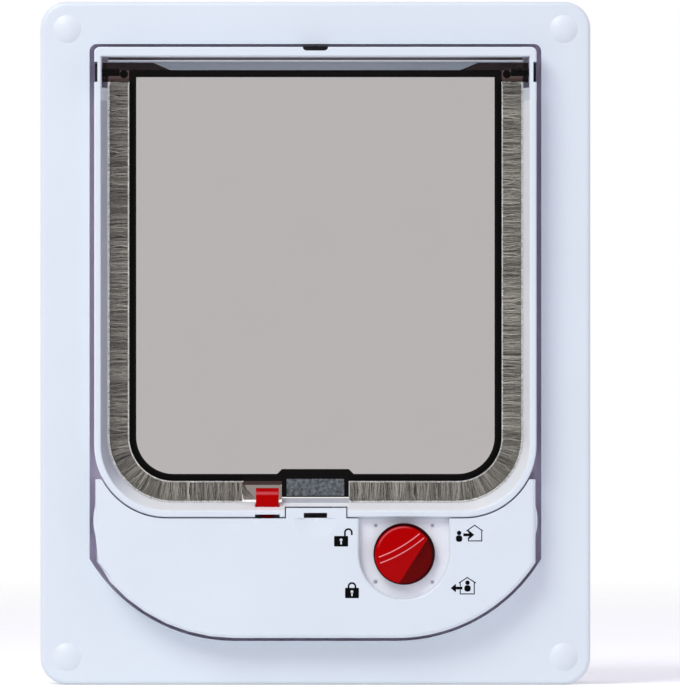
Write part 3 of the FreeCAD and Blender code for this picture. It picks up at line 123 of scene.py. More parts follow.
# %% [markdown]
# ## Helpers for nodes
# Every finish below is a small network of nodes. Written out in full it would be mostly repetition: add a node, set
# its kind, link its inputs. These helpers take that up. Each takes sockets or plain values and returns a socket, so
# that they nest like a formula.

# %% Node helpers
def add_node(tree, kind, settings=(), inputs=()):
    """Add a node, set its properties and fill its inputs with sockets or plain values."""
    node = tree.nodes.new(kind)
    for name, value in dict(settings).items():
        setattr(node, name, value)
    for slot, value in dict(inputs).items():
        if isinstance(value, bpy.types.NodeSocket):
            tree.links.new(value, node.inputs[slot])
        else:
            node.inputs[slot].default_value = value
    return node


def calc(tree, operation, *values):
    return add_node(tree, "ShaderNodeMath", {"operation": operation}, enumerate(values)).outputs[0]


def vector_calc(tree, operation, *values):
    """Calculate with vectors. A length, a distance and a dot product come out as one number."""
    node = add_node(tree, "ShaderNodeVectorMath", {"operation": operation}, enumerate(values))
    return node.outputs["Value" if operation in ("LENGTH", "DISTANCE", "DOT_PRODUCT") else "Vector"]


def product(tree, *factors):
    total = factors[0]
    for factor in factors[1:]:
        total = calc(tree, "MULTIPLY", total, factor)
    return total


def mix_value(tree, factor, low, high):
    return add_node(tree, "ShaderNodeMix", {}, {0: factor, 2: low, 3: high}).outputs[0]


def mix_colour(tree, factor, low, high):
    return add_node(tree, "ShaderNodeMix", {"data_type": "RGBA"}, {0: factor, 6: low, 7: high}).outputs[2]


def noise(tree, place, scale, detail):
    values = {"Vector": place, "Scale": scale, "Detail": detail}
    return add_node(tree, "ShaderNodeTexNoise", {}, values).outputs["Fac"]


def coordinate(tree, kind="Object"):
    return add_node(tree, "ShaderNodeTexCoord").outputs[kind]


def split(tree, vector):
    """Return the sockets X, Y and Z of a vector."""
    return add_node(tree, "ShaderNodeSeparateXYZ", {}, {0: vector}).outputs


print("node helpers are ready")

# %% [markdown]
# ## Masks
# A mask is a number from 0 to 1 that tells where a colour lies. Most masks here come from a place or a distance: they
# rise over a short span, or they are 1 between two limits.

# %% Mask helpers
def ramp(tree, value, start, end, low=0.0, high=1.0):
    """Go from low to high while the value goes from start to end."""
    return add_node(tree, "ShaderNodeMapRange", {}, {
        "Value": value, "From Min": start, "From Max": end, "To Min": low, "To Max": high}).outputs["Result"]


def ramp_along(tree, vector, way, start, end):
    """Rise from 0 to 1 while the vector's share along the way goes from start to end."""
    return ramp(tree, vector_calc(tree, "DOT_PRODUCT", vector, way), start, end)


def band(tree, value, start, full, fade, end):
    """Rise to 1 between start and full, and fall back to 0 between fade and end."""
    return product(tree, ramp(tree, value, start, full), ramp(tree, value, end, fade))


def between(tree, value, low, high):
    return product(tree, calc(tree, "GREATER_THAN", value, low), calc(tree, "LESS_THAN", value, high))


print("mask helpers are ready")

# %% [markdown]
# ## The surroundings
# The background is white, but a white world would also wash out every shadow. The Light Path node tells what kind
# of ray asks for the world's brightness. Rays from the camera and through the clear flap see white. Rays that light
# the object see a dimmer world with a touch of violet, which is the colour of the photograph's shadows.
# Reflections see a studio that is darker on the camera's side.

# %% World with a white background
AMBIENT = 0.47
AMBIENT_TINT = (0.94, 0.90, 1.10, 1.0)
WHITE_LIGHT = (1, 1, 1, 1)
CAMERA_SIDE = 0.12
STUDIO_SPAN = (-0.8, 0.3)

world = bpy.data.worlds.new("studio")
world.use_nodes = True
bpy.context.scene.world = world
tree = world.node_tree
background = tree.nodes["Background"]
rays = add_node(tree, "ShaderNodeLightPath").outputs
studio = ramp(tree, split(tree, coordinate(tree, "Generated"))["Y"], *STUDIO_SPAN, low=CAMERA_SIDE)
strength = mix_value(tree, rays["Is Glossy Ray"], AMBIENT, studio)
for kind in ("Is Transmission Ray", "Is Camera Ray"):
    strength = mix_value(tree, rays[kind], strength, 1.0)
not_light = calc(tree, "SUBTRACT", 1.0, rays["Is Diffuse Ray"])
tree.links.new(strength, background.inputs["Strength"])
tree.links.new(mix_colour(tree, not_light, AMBIENT_TINT, WHITE_LIGHT), background.inputs["Color"])
print("world:", AMBIENT, "for light, 1.0 for the camera")

# %% [markdown]
# ## The floor
# The flap stands on a pale floor that keeps its shadow. A little light of its own, only for the rays that look at it,
# brings it up to the white of the background. A plane with an edge would draw a horizon behind the object, so the
# floor fades away with distance: a mask grows with the distance from the middle and mixes in a transparent shader,
# through which the white world shows.

# %% Pale floor that fades out
FLOOR_SIZE = 5.0
FLOOR_GAP = 0.1 * MM
FLOOR_FADE = (0.6, 2.2)
FLOOR_GLOW = 0.3
FLOOR_PAINT = {"Base Color": (0.98, 0.98, 0.98, 1), "Roughness": 0.7, "Specular IOR Level": 0.1}

foot = cad_box[0].z
bpy.ops.mesh.primitive_plane_add(size=FLOOR_SIZE, location=(0, 0, foot - FLOOR_GAP))
floor = bpy.context.object
floor.name = "floor"
bpy.ops.object.transform_apply(location=True, rotation=True, scale=True)
paint = bpy.data.materials.new("floor_paint")
paint.use_nodes = True
tree = paint.node_tree
matt = tree.nodes["Principled BSDF"]
for slot, value in FLOOR_PAINT.items():
    matt.inputs[slot].default_value = value
rays = add_node(tree, "ShaderNodeLightPath").outputs
looking = rays["Is Camera Ray"]
for kind in ("Is Glossy Ray", "Is Transmission Ray"):
    looking = add_node(tree, "ShaderNodeMath", {"operation": "ADD", "use_clamp": True}, {
        0: looking, 1: rays[kind]}).outputs[0]
glow = add_node(tree, "ShaderNodeEmission", {}, {"Strength": product(tree, looking, FLOOR_GLOW)})
lit = add_node(tree, "ShaderNodeAddShader", {}, {0: matt.outputs[0], 1: glow.outputs[0]})
clear = add_node(tree, "ShaderNodeBsdfTransparent")
fade = ramp(tree, vector_calc(tree, "LENGTH", coordinate(tree)), *FLOOR_FADE)
ground = add_node(tree, "ShaderNodeMixShader", {}, {0: fade, 1: lit.outputs[0], 2: clear.outputs[0]})
tree.links.new(ground.outputs[0], tree.nodes["Material Output"].inputs["Surface"])
floor.data.materials.append(paint)
print("floor at z in mm:", round(foot / MM, 1))

# %% [markdown]
# ## Colours as they are seen
# Colours are picked from the photograph as display values from 0 to 255. Blender's shaders work with light, where
# the same numbers would look far too pale, so each channel is first put through the display curve backwards.

# %% Display colour to shader colour
def seen(red, green, blue):
    channels = []
    for value in (red, green, blue):
        share = value / 255
        channels.append(share / 12.92 if share <= 0.04045 else ((share + 0.055) / 1.055) ** 2.4)
    return (*channels, 1.0)


WHITE = seen(228, 236, 243)
print("mid grey:", [round(v, 3) for v in seen(128, 128, 128)])

# %% [markdown]
# ## A shared effect: the skin of moulded plastic
# Every plastic part comes from a mould whose wall was lightly etched, and no moulding has one even colour. The same
# effect serves many materials, so it is a node group: noise in two sizes, a coarse one that shifts the colour and
# the gloss a little, and a fine one for the etched grain. The group only puts out values; the shader, and the bump
# that turns the grain into normals, stay in each material.

# %% Node group for moulded skin
SKIN_OUTPUTS = [("Colour", "Color"), ("Roughness", "Float"), ("Height", "Float")]


def new_group(name, inputs, outputs):
    """Start a node group, and return it with the sockets that come in and those that go out."""
    group = bpy.data.node_groups.new(name, "ShaderNodeTree")
    for label, kind, value in inputs:
        socket = group.interface.new_socket(name=label, in_out="INPUT", socket_type="NodeSocket" + kind)
        socket.default_value = value
    for label, kind in outputs:
        group.interface.new_socket(name=label, in_out="OUTPUT", socket_type="NodeSocket" + kind)
    return group, group.nodes.new("NodeGroupInput").outputs, group.nodes.new("NodeGroupOutput").inputs


def end_group(group, result, values):
    for slot, value in values.items():
        group.links.new(value, result[slot])
    print("group:", group.name, "with", len(group.nodes), "nodes")
    return group


def scale_colour(tree, colour, share):
    return add_node(tree, "ShaderNodeVectorMath", {"operation": "SCALE"}, {0: colour, "Scale": share}).outputs[0]


def make_skin_group():
    group, given, result = new_group("moulded_skin", [
        ("Colour", "Color", (0.8, 0.8, 0.8, 1)), ("Shade", "Float", 0.03), ("Cloud Scale", "Float", 30.0),
        ("Grain Scale", "Float", 2500.0), ("Roughness", "Float", 0.4), ("Gloss Drift", "Float", 0.06)], SKIN_OUTPUTS)
    place = coordinate(group)
    cloud = calc(group, "SUBTRACT", noise(group, place, given["Cloud Scale"], 3.0), 0.5)
    shade = calc(group, "MULTIPLY_ADD", cloud, given["Shade"], 1.0)
    return end_group(group, result, {
        "Colour": scale_colour(group, given["Colour"], shade),
        "Roughness": calc(group, "MULTIPLY_ADD", cloud, given["Gloss Drift"], given["Roughness"]),
        "Height": noise(group, place, given["Grain Scale"], 2.0)})


skin_group = make_skin_group()

# %% [markdown]
# ## A second shared effect: drawn metal
# Sheet, wire and screws carry fine lines from the rollers or the die. Stretching a noise texture along one axis
# turns its blobs into such lines. The stretch is an input, so that a screw, a strip and a yoke each get lines along
# their own length.

# %% Node group for drawn metal
PATCH_SCALE = 160.0
LINE_ROUGHNESS = 0.2


def make_metal_group():
    group, given, result = new_group("drawn_metal", [
        ("Colour", "Color", (0.6, 0.6, 0.6, 1)), ("Lines", "Vector", (300.0, 300.0, 3000.0)),
        ("Roughness", "Float", 0.3), ("Tarnish", "Float", 0.15)], SKIN_OUTPUTS)
    place = coordinate(group)
    lines = noise(group, vector_calc(group, "MULTIPLY", place, given["Lines"]), 1.0, 3.0)
    dull = product(group, noise(group, place, PATCH_SCALE, 4.0), given["Tarnish"])
    return end_group(group, result, {
        "Colour": scale_colour(group, given["Colour"], calc(group, "SUBTRACT", 1.0, dull)),
        "Roughness": calc(group, "MULTIPLY_ADD", lines, LINE_ROUGHNESS, given["Roughness"]),
        "Height": lines})


metal_group = make_metal_group()

# %% [markdown]
# ## A third: the rounded window
# Some mouldings need more than one colour, and the border is often a rectangle with round corners. To test for it,
# how far a point lies outside the rectangle that the corner centres span is compared with the corner radius.

# %% Node group for a rounded window
def make_window_group():
    group, given, result = new_group("rounded_window", [
        ("Half Width", "Float", 0.07), ("Low", "Float", -0.05), ("High", "Float", 0.11),
        ("Corner", "Float", 0.012)], [("Mask", "Float")])
    place = split(group, coordinate(group))
    corner = given["Corner"]
    past_side = calc(group, "SUBTRACT", calc(group, "ABSOLUTE", place["X"]),
                     calc(group, "SUBTRACT", given["Half Width"], corner))
    past_foot = calc(group, "SUBTRACT", calc(group, "ADD", given["Low"], corner), place["Z"])
    past = add_node(group, "ShaderNodeCombineXYZ", {}, {
        "X": calc(group, "MAXIMUM", past_side, 0.0), "Y": calc(group, "MAXIMUM", past_foot, 0.0)}).outputs[0]
    inside = calc(group, "LESS_THAN", vector_calc(group, "LENGTH", past), corner)
    under = calc(group, "LESS_THAN", place["Z"], given["High"])
    return end_group(group, result, {"Mask": product(group, inside, under)})


window_group = make_window_group()


def window_mask(tree, window):
    return add_node(tree, "ShaderNodeGroup", {"node_tree": window_group}, window).outputs["Mask"]


# %% [markdown]
# ## From a group to a material
# Each material needs the same four links: colour, roughness, and the height through a bump into the normal. One
# helper makes them. Numbers that are the same all over a surface, such as the metallic share, are set straight on
# the shader, because an exporter reads them only there.

# %% Helpers that build a material on a group
def build_material(name, group, values, bump, constants=()):
    material = bpy.data.materials.new(name)
    material.use_nodes = True
    tree = material.node_tree
    shader = tree.nodes["Principled BSDF"]
    effect = add_node(tree, "ShaderNodeGroup", {"node_tree": group}, values)
    relief = add_node(tree, "ShaderNodeBump", {}, {
        "Strength": bump[0], "Distance": bump[1], "Height": effect.outputs["Height"]})
    tree.links.new(effect.outputs["Colour"], shader.inputs["Base Color"])
    tree.links.new(effect.outputs["Roughness"], shader.inputs["Roughness"])
    tree.links.new(relief.outputs["Normal"], shader.inputs["Normal"])
    for slot, value in dict(constants).items():
        shader.inputs[slot].default_value = value
    print("material:", name)
    return material


def plastic(name, colour, roughness=0.36, shade=0.05, grain=2500.0, bump=(0.12, 0.00004), constants=()):
    values = {"Colour": colour, "Shade": shade, "Grain Scale": grain, "Roughness": roughness}
    return build_material(name, skin_group, values, bump, constants)


def metal(name, colour, roughness=0.3, lines=(300.0, 300.0, 3000.0), tarnish=0.2, metallic=1.0):
    values = {"Colour": colour, "Lines": lines, "Roughness": roughness, "Tarnish": tarnish}
    return build_material(name, metal_group, values, (0.2, 0.00003), {"Metallic": metallic})


def open_up(material):
    """Return the material's tree and the node of its shared effect."""
    tree = material.node_tree
    return tree, next(node for node in tree.nodes if node.type == "GROUP")


def set_colour(material, colour):
    tree, effect = open_up(material)
    tree.links.new(colour, effect.inputs["Colour"])
    return material


# %% [markdown]
# ## The plain finishes
# The plate, the frame and the cover are one cool white plastic with a satin skin. Inside are black plastics, bright
# steel, brass and copper, which are seen when the cover is pulled off. The keeper behind the sill is dulled steel
# that mirrors little.

# %% Plastics
white_plastic = plastic("white_plastic", WHITE, roughness=0.34)
cap_plastic = plastic("cap_plastic", seen(230, 237, 243), roughness=0.42)
black_plastic = plastic("black_plastic", seen(12, 12, 14), roughness=0.4, shade=0.3, constants={
    "Specular IOR Level": 0.3})
natural_nylon = plastic("natural_nylon", seen(206, 203, 190), roughness=0.42, shade=0.08)
sensor_glass = plastic("sensor_glass", seen(196, 214, 206), roughness=0.06, bump=(0.02, 0.00002), constants={
    "Transmission Weight": 0.85, "IOR": 1.5})

# %% Metals
bright_steel = metal("bright_steel", seen(196, 198, 200), lines=(300.0, 3000.0, 300.0))
zinc_steel = metal("zinc_steel", seen(176, 180, 184), roughness=0.38, lines=(2500.0, 300.0, 2500.0))
spring_steel = metal("spring_steel", seen(188, 188, 186), roughness=0.25)
keeper_steel = metal("keeper_steel", seen(196, 199, 204), roughness=0.4, lines=(200.0, 3000.0, 3000.0), metallic=0.2)
brass_strip = metal("brass_strip", seen(206, 176, 104), roughness=0.28, lines=(200.0, 3000.0, 3000.0))

# %% [markdown]
# ## Red plastic
# The knob and the latch are one deep red. The latch's rounded edges that look up to the left, towards the key lamp,
# get a painted highlight in a paler red, and the surface's own normal tells where they are.

# %% Red plastic and the latch
RED = seen(178, 0, 2)
HIGHLIGHT_RED = seen(226, 112, 120)
HIGHLIGHT_SHARE = 0.5
HIGHLIGHT_WAY = (-0.236, -0.893, 0.382)
HIGHLIGHT_SPAN = (0.94, 0.975)


def make_red(name):
    return plastic(name, RED, roughness=0.2, shade=0.12, grain=1800.0, bump=(0.08, 0.00003), constants={
        "Specular IOR Level": 0.05})


latch_red = make_red("latch_red")
tree = latch_red.node_tree
# Painted highlight: where the normal faces up to the left, towards the key lamp, the red is mixed towards a pale red.
latch_highlight = product(tree, ramp_along(tree, coordinate(tree, "Normal"), HIGHLIGHT_WAY, *HIGHLIGHT_SPAN), HIGHLIGHT_SHARE)
set_colour(latch_red, mix_colour(tree, latch_highlight, RED, HIGHLIGHT_RED))

# %% [markdown]
# ## The knob's five reds
# The facet at the knob's right gets painted shade, a much darker red, since it faces away from the lamp: it lies past
# a line across the knob, so the distance from that line tells where it is. The skirt round the knob gets painted
# shade too, and a painted highlight makes a pale crescent at its upper left: both follow from the distance to the
# knob's axis.
# Both edges of the ridge across the knob carry a painted highlight, a thin pale red line. Each edge is a part of a
# circle whose centre lies outside the knob, so a thin ring in the distance from that centre follows it, and it stops
# short of the skirt.

# %% Knob
FACET_SHADE_RED = seen(102, 0, 0)
SKIRT_SHADE_RED = seen(46, 0, 4)
RIDGE_HIGHLIGHT_RED = seen(246, 150, 158)
FACET_WAY = (0.843, 0.0, -0.538)
FACET_START = 4.88 * MM
SKIRT_START = 12.05 * MM
SKIRT_EDGE = 0.35 * MM
SKIRT_SHIFT = (-0.35 * MM, 0.0, -0.3 * MM)
CRESCENT_BAND = (11.0 * MM, 11.3 * MM, 11.65 * MM, 11.95 * MM)
CRESCENT_WAY = (-0.5, 0.0, 0.866)
CRESCENT_SPAN = (7.5 * MM, 11.0 * MM)
RIDGE_RADIUS = 60.0 * MM
RIDGE_TILT = math.radians(30)
RIDGE_EDGES = (3.4 * MM, 0.8 * MM)
RIDGE_REACH = 10.9 * MM
LINE_HALF = 0.27 * MM
SHARP = 0.1 * MM
IN_FRONT_VIEW = (1, 0, 1)

knob_low, knob_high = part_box("lock_knob")
knob_centre = (knob_low + knob_high) / 2


def from_knob(tree):
    """Return the offset from the knob's axis, as it is seen from the front."""
    return vector_calc(tree, "MULTIPLY", vector_calc(tree, "SUBTRACT", coordinate(tree), knob_centre), IN_FRONT_VIEW)


def make_knob_red():
    material = make_red("knob_red")
    tree = material.node_tree
    facet = Vector(FACET_WAY).dot(knob_centre) + FACET_START
    offset = from_knob(tree)
    reach = vector_calc(tree, "LENGTH", offset)
    # Painted shade on the facet, which faces away from the lamp.
    facet_shade = ramp_along(tree, coordinate(tree), FACET_WAY, facet, facet + SHARP)
    # Painted highlight: a pale crescent inside the rim at the upper left.
    crescent_highlight = product(tree, band(tree, reach, *CRESCENT_BAND),
                       ramp_along(tree, offset, CRESCENT_WAY, *CRESCENT_SPAN), HIGHLIGHT_SHARE)
    colour = mix_colour(tree, facet_shade, RED, FACET_SHADE_RED)
    colour = mix_colour(tree, crescent_highlight, colour, HIGHLIGHT_RED)
    ridge_up = Vector((-math.sin(RIDGE_TILT), 0, math.cos(RIDGE_TILT)))
    from_ridge = vector_calc(tree, "DISTANCE", offset, ridge_up * RIDGE_RADIUS)
    on_face = ramp(tree, reach, RIDGE_REACH + SHARP, RIDGE_REACH)
    # Painted highlight along both edges of the ridge.
    for edge in RIDGE_EDGES:
        radius = RIDGE_RADIUS - edge
        line = band(tree, from_ridge, radius - LINE_HALF, radius - LINE_HALF / 2,
                    radius + LINE_HALF / 2, radius + LINE_HALF)
        colour = mix_colour(tree, product(tree, line, on_face), colour, RIDGE_HIGHLIGHT_RED)
    # Painted shade round the skirt.
    from_skirt = vector_calc(tree, "DISTANCE", offset, SKIRT_SHIFT)
    skirt_shade = ramp(tree, from_skirt, SKIRT_START, SKIRT_START + SKIRT_EDGE)
    return set_colour(material, mix_colour(tree, skirt_shade, colour, SKIRT_SHADE_RED))


knob_red = make_knob_red()

# %% [markdown]
# ## The smoked flap
# The flap is one clear moulding of smoked plastic. Light crosses its thin pane easily, so the pane is mid grey with
# the white background behind it. The rim round it is thick and stands edge on, so it looks nearly black, and
# the thin ears and the strike are a warm brown. One material shows all of them: the tint changes with the place on
# the flap, through rounded windows, while the glass-like transmission stays one plain number.
# The holder's shoulders slope: the lower a point, the further from the middle it may lie. Each ear has a dark boss,
# and one test serves both, because X is made positive first.

# %% Smoked clear plastic
PANE = {"Half Width": 0.0769, "Low": -0.0562, "High": 0.1141, "Corner": 0.016}
RIM = {"Half Width": 0.07995, "Low": -0.05925, "High": 0.11715, "Corner": 0.019}
HOLDER = {"Half Width": 0.01445, "Low": -0.0665, "High": -0.0541, "Corner": 0.0005}
BOSS_PLACE = (0.0822, 0.0, 0.1154)
BOSS_RADIUS = 0.00175
SHOULDER_HALF, SHOULDER_LOW, SHOULDER_HIGH = 0.01435, -0.0566, -0.0541
EAR_FOOT = 0.1135
WEB_TOP = -0.0609
PANE_TINT = seen(186, 182, 182)
RIM_TINT = seen(10, 7, 8)
FIN_TINT = seen(66, 53, 52)
BOSS_TINT = seen(4, 3, 3)
EAR_LIGHTENED_TINT = seen(84, 68, 66)
WEB_TINT = seen(146, 136, 132)


def make_smoked_plastic():
    material = plastic("smoked_plastic", PANE_TINT, roughness=0.05, bump=(0.04, 0.00003), constants={
        "Transmission Weight": 1.0, "IOR": 1.49})
    tree, effect = open_up(material)
    effect.inputs["Gloss Drift"].default_value = 0.05
    place = coordinate(tree)
    mirrored = vector_calc(tree, "ABSOLUTE", place)
    side, height = split(tree, mirrored)["X"], split(tree, place)["Z"]
    slope = calc(tree, "LESS_THAN", calc(tree, "ADD", side, height), SHOULDER_HALF + SHOULDER_HIGH)
    shoulder = product(tree, slope, between(tree, height, SHOULDER_LOW, SHOULDER_HIGH))
    from_boss = vector_calc(tree, "DISTANCE", vector_calc(tree, "MULTIPLY", mirrored, IN_FRONT_VIEW), BOSS_PLACE)
    # The ears above EAR_FOOT get a lighter brown than the fins: painted light that makes up for the shaded frame seen
    # through them.
    tint = FIN_TINT
    for mask, inner in (
        (calc(tree, "GREATER_THAN", height, EAR_FOOT), EAR_LIGHTENED_TINT),
        (calc(tree, "LESS_THAN", height, WEB_TOP), WEB_TINT),
        (window_mask(tree, RIM), RIM_TINT),
        (window_mask(tree, PANE), PANE_TINT),
        (window_mask(tree, HOLDER), RIM_TINT),
        (shoulder, RIM_TINT),
        (calc(tree, "LESS_THAN", from_boss, BOSS_RADIUS), BOSS_TINT),
    ):
        tint = mix_colour(tree, mask, tint, inner)
    return set_colour(material, tint)


smoked_plastic = make_smoked_plastic()

# %% [markdown]
# ## The plate's painted shade
# The plate is the same white plastic as the frame. The floor of its recess gets a trace of violet: painted shade, the
# colour of the shadows there. Two small places of that floor are only seen through narrow gaps, behind the release
# slot and above the flap, and there the real plate lies in deep shade. A door stands behind the real plate and no
# light comes from there; in the studio the back is open, so these two places get painted shade, a dark grey. The
# window group marks all three, together with a test that keeps them off the plate's front and back.

# %% Plate plastic
PAINTED_SHADE_PLACES = (
    ({"Half Width": 0.0975, "Low": -0.1300, "High": 0.1300, "Corner": 0.001}, seen(244, 234, 255)),
    ({"Half Width": 0.0072, "Low": -0.0775, "High": -0.0705, "Corner": 0.0005}, seen(92, 86, 92)),
    ({"Half Width": 0.0890, "Low": 0.1175, "High": 0.1275, "Corner": 0.0005}, seen(124, 118, 122)),
)
DEEP_FLOOR = (-0.0100, -0.0004)


def make_plate_plastic():
    material = plastic("plate_plastic", WHITE, roughness=0.34)
    tree = material.node_tree
    floor_mask = between(tree, split(tree, coordinate(tree))["Y"], *DEEP_FLOOR)
    colour = WHITE
    # Painted shade: a violet tint on the recess floor, and dark grey in the two narrow places.
    for window, tint in PAINTED_SHADE_PLACES:
        colour = mix_colour(tree, product(tree, window_mask(tree, window), floor_mask), colour, tint)
    return set_colour(material, colour)


plate_plastic = make_plate_plastic()

# %% [markdown]
# ## The well round the knob
# The frame's floor laps under the cover round the knob. It gets painted light, a little paler than its surroundings,
# to lift the shade round the knob, and four small dimples in it get painted shade, a grey disc each. The dimples
# stand at the corners of a square: with X and Z measured from the knob's axis and made positive, one test finds all
# four. The walls of the opening get painted light and shade too: the left one is greyer and the right one and the
# foot are paler, which the surface's own normal tells apart. The finger notch at the top is too shallow to look dark
# in an open studio, so the window group paints its shade.

# %% Frame plastic
WELL_FRONT = -18.8 * MM
WELL_HALF = 19.8 * MM
WELL_TOP = 14.8 * MM
WELL_PAINTED_LIGHT = seen(248, 249, 255)
DIMPLE_SPREAD = 12.1 * MM
DIMPLE_RADIUS = 0.95 * MM
DIMPLE_SHADE = seen(160, 162, 176)
OPENING_FOOT = -72.0 * MM
OPENING_TOP = 104.0 * MM
SHADED_WHITE = seen(198, 203, 214)
PAINTED_LIGHT_WHITE = seen(251, 253, 255)
WALL_LIGHT_AND_SHADE = (((1.0, 0.0, 0.0), SHADED_WHITE), ((-1.0, 0.0, 0.0), PAINTED_LIGHT_WHITE), ((0.0, 0.0, 1.0), PAINTED_LIGHT_WHITE))
WALL_SPAN = (0.5, 0.9)
FINGER_NOTCH = {"Half Width": 0.0054, "Low": 0.1253, "High": 0.1280, "Corner": 0.0014}
NOTCH_SHADE = seen(14, 13, 18)


def make_frame_plastic():
    material = plastic("frame_plastic", WHITE, roughness=0.34)
    tree = material.node_tree
    place = split(tree, coordinate(tree))
    offset = from_knob(tree)
    folded = vector_calc(tree, "ABSOLUTE", offset)
    well = product(
        tree,
        calc(tree, "LESS_THAN", split(tree, folded)["X"], WELL_HALF),
        calc(tree, "LESS_THAN", split(tree, offset)["Z"], WELL_TOP),
        calc(tree, "GREATER_THAN", place["Y"], WELL_FRONT),
    )
    # Painted shade in the four dimples.
    from_dimple = vector_calc(tree, "DISTANCE", folded, (DIMPLE_SPREAD, 0, DIMPLE_SPREAD))
    dimple_shade = product(tree, ramp(tree, from_dimple, DIMPLE_RADIUS, DIMPLE_RADIUS / 2), well)
    # Painted light on the well floor round the knob.
    colour = mix_colour(tree, well, WHITE, WELL_PAINTED_LIGHT)
    colour = mix_colour(tree, dimple_shade, colour, DIMPLE_SHADE)
    # Painted shade on the left wall of the opening, painted light on the right wall and the foot.
    opening = band(tree, place["Z"], OPENING_FOOT, OPENING_FOOT + SHARP, OPENING_TOP - SHARP, OPENING_TOP)
    normal = coordinate(tree, "Normal")
    for way, tint in WALL_LIGHT_AND_SHADE:
        wall = product(tree, ramp_along(tree, normal, way, *WALL_SPAN), opening)
        colour = mix_colour(tree, wall, colour, tint)
    # Painted shade in the finger notch.
    return set_colour(material, mix_colour(tree, window_mask(tree, FINGER_NOTCH), colour, NOTCH_SHADE))


frame_plastic = make_frame_plastic()

# %% [markdown]
# ## The magnet
# The catch magnet is a block of pressed ferrite: dull, blue-grey, with lighter and darker grains. A fine noise,
# pushed apart by a colour ramp, gives the mottled look.

# %% Ferrite
GRAIN_SCALE = 700.0


def colour_ramp(tree, value, *stops):
    """Turn a value into a colour. Each stop is a position and the colour there."""
    node = add_node(tree, "ShaderNodeValToRGB", {}, {0: value})
    for element, (position, colour) in zip(node.color_ramp.elements, (stops[0], stops[-1])):
        element.position = position
        element.color = colour
    for position, colour in stops[1:-1]:
        node.color_ramp.elements.new(position).color = colour
    return node.outputs["Color"]


ferrite = plastic("ferrite", seen(84, 89, 92), roughness=0.5, shade=0.4, grain=1500.0, bump=(0.4, 0.00006))
tree = ferrite.node_tree
grains = noise(tree, coordinate(tree), GRAIN_SCALE, 5.0)
set_colour(ferrite, colour_ramp(tree, grains, (0.36, seen(58, 63, 66)), (0.68, seen(118, 124, 127))))

# %% [markdown]
# ## What works inside
# The coil is wound with enamelled copper wire, layer on layer, so its surface has fine rings: a wave texture along
# the coil's axis. The battery is a plain painted can with a lighter end. The circuit board is green lacquer over
# copper tracks that run square to each other, which a brick pattern imitates well.

# %% Copper winding
COIL_PITCH = 0.45 * MM
WAVE_TO_PITCH = math.pi / 10

copper_winding = metal("copper_winding", seen(196, 104, 58), roughness=0.25, tarnish=0.3)
tree = copper_winding.node_tree
rings = add_node(tree, "ShaderNodeTexWave", {"bands_direction": "Z"}, {
    "Vector": coordinate(tree), "Scale": WAVE_TO_PITCH / COIL_PITCH, "Distortion": 0.4, "Detail": 1.0})
relief = add_node(tree, "ShaderNodeBump", {}, {"Strength": 0.8, "Distance": 0.0002, "Height": rings.outputs["Fac"]})
tree.links.new(relief.outputs["Normal"], tree.nodes["Principled BSDF"].inputs["Normal"])

# %% Battery can
PALE_END = 14.5 * MM
END_BLEND = 0.2 * MM

battery_paint = plastic("battery_paint", seen(40, 42, 48), roughness=0.32, shade=0.2)
tree = battery_paint.node_tree
end_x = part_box("battery")[0].x + PALE_END
dark_part = ramp(tree, split(tree, coordinate(tree))["X"], end_x, end_x + END_BLEND)
set_colour(battery_paint, mix_colour(tree, dark_part, seen(190, 132, 72), seen(38, 40, 46)))

# %% Circuit board
board_lacquer = plastic("board_lacquer", seen(20, 92, 56), roughness=0.3, shade=0.2)
tree = board_lacquer.node_tree
turned = add_node(tree, "ShaderNodeMapping", {}, {"Vector": coordinate(tree), "Rotation": (math.pi / 2, 0, 0)})
tracks = add_node(tree, "ShaderNodeTexBrick", {"offset": 0.35}, {
    "Vector": turned.outputs[0], "Scale": 260.0, "Mortar Size": 0.035,
    "Color1": seen(16, 84, 50), "Color2": seen(20, 92, 56), "Mortar": seen(52, 134, 82)})
set_colour(board_lacquer, tracks.outputs["Color"])

# %% [markdown]
# ## Finishes on the solids
# A solid whose shape is right keeps its mesh and only gets a material in its slots. A table from finish to node
# names keeps this in one place, and nodes that come in a series are named by a loop.

# %% Give every solid its finish
def numbered(stem, count):
    return [f"{stem}_{index}" for index in range(1, count + 1)]


finishes = [
    (white_plastic, ["exterior_frame", "battery_cover"]),
    (frame_plastic, ["inner_frame"]),
    (plate_plastic, ["interior_plate"]),
    (cap_plastic, numbered("screw_cap", 4)),
    (smoked_plastic, ["flap"]),
    (ferrite, ["flap_magnet"]),
    (keeper_steel, ["keeper_plate"]),
    (bright_steel, ["latch_plunger"]),
    (knob_red, ["lock_knob"]),
    (latch_red, ["entry_latch"]),
    (black_plastic, ["hinge_pin_left", "hinge_pin_right", "battery_clip", "control_chip", "capacitor"]),
    (natural_nylon, ["coil_bobbin", "lock_shaft"]),
    (copper_winding, ["latch_coil"]),
    (zinc_steel, ["coil_yoke", *numbered("fixing_screw", 4), *numbered("frame_screw", 2),
                  *numbered("board_screw", 2)]),
    (spring_steel, ["latch_spring"]),
    (battery_paint, ["battery"]),
    (brass_strip, ["contact_strip_positive", "contact_strip_negative"]),
    (board_lacquer, ["circuit_board"]),
    (sensor_glass, ["magnet_sensor"]),
]

for material, names in finishes:
    for name in names:
        slots = nodes[name].data.materials
        slots.clear()
        slots.append(material)
print("finished solids:", sum(len(names) for _, names in finishes))

# %% [markdown]
# ## The brush round the flap
# A draught brush is held in a groove of the flap's rim: thousands of soft grey fibres that stand in tufts and reach
# almost to the frame. Its solid is only a flat band, so real fibres stand for it. Hair would be the obvious tool, but
# hair isn't a mesh and can't be exported, so each fibre becomes a thin bent needle of its own.
# First comes the course of the strip: down the side, round the corner, and along the foot of the flap.

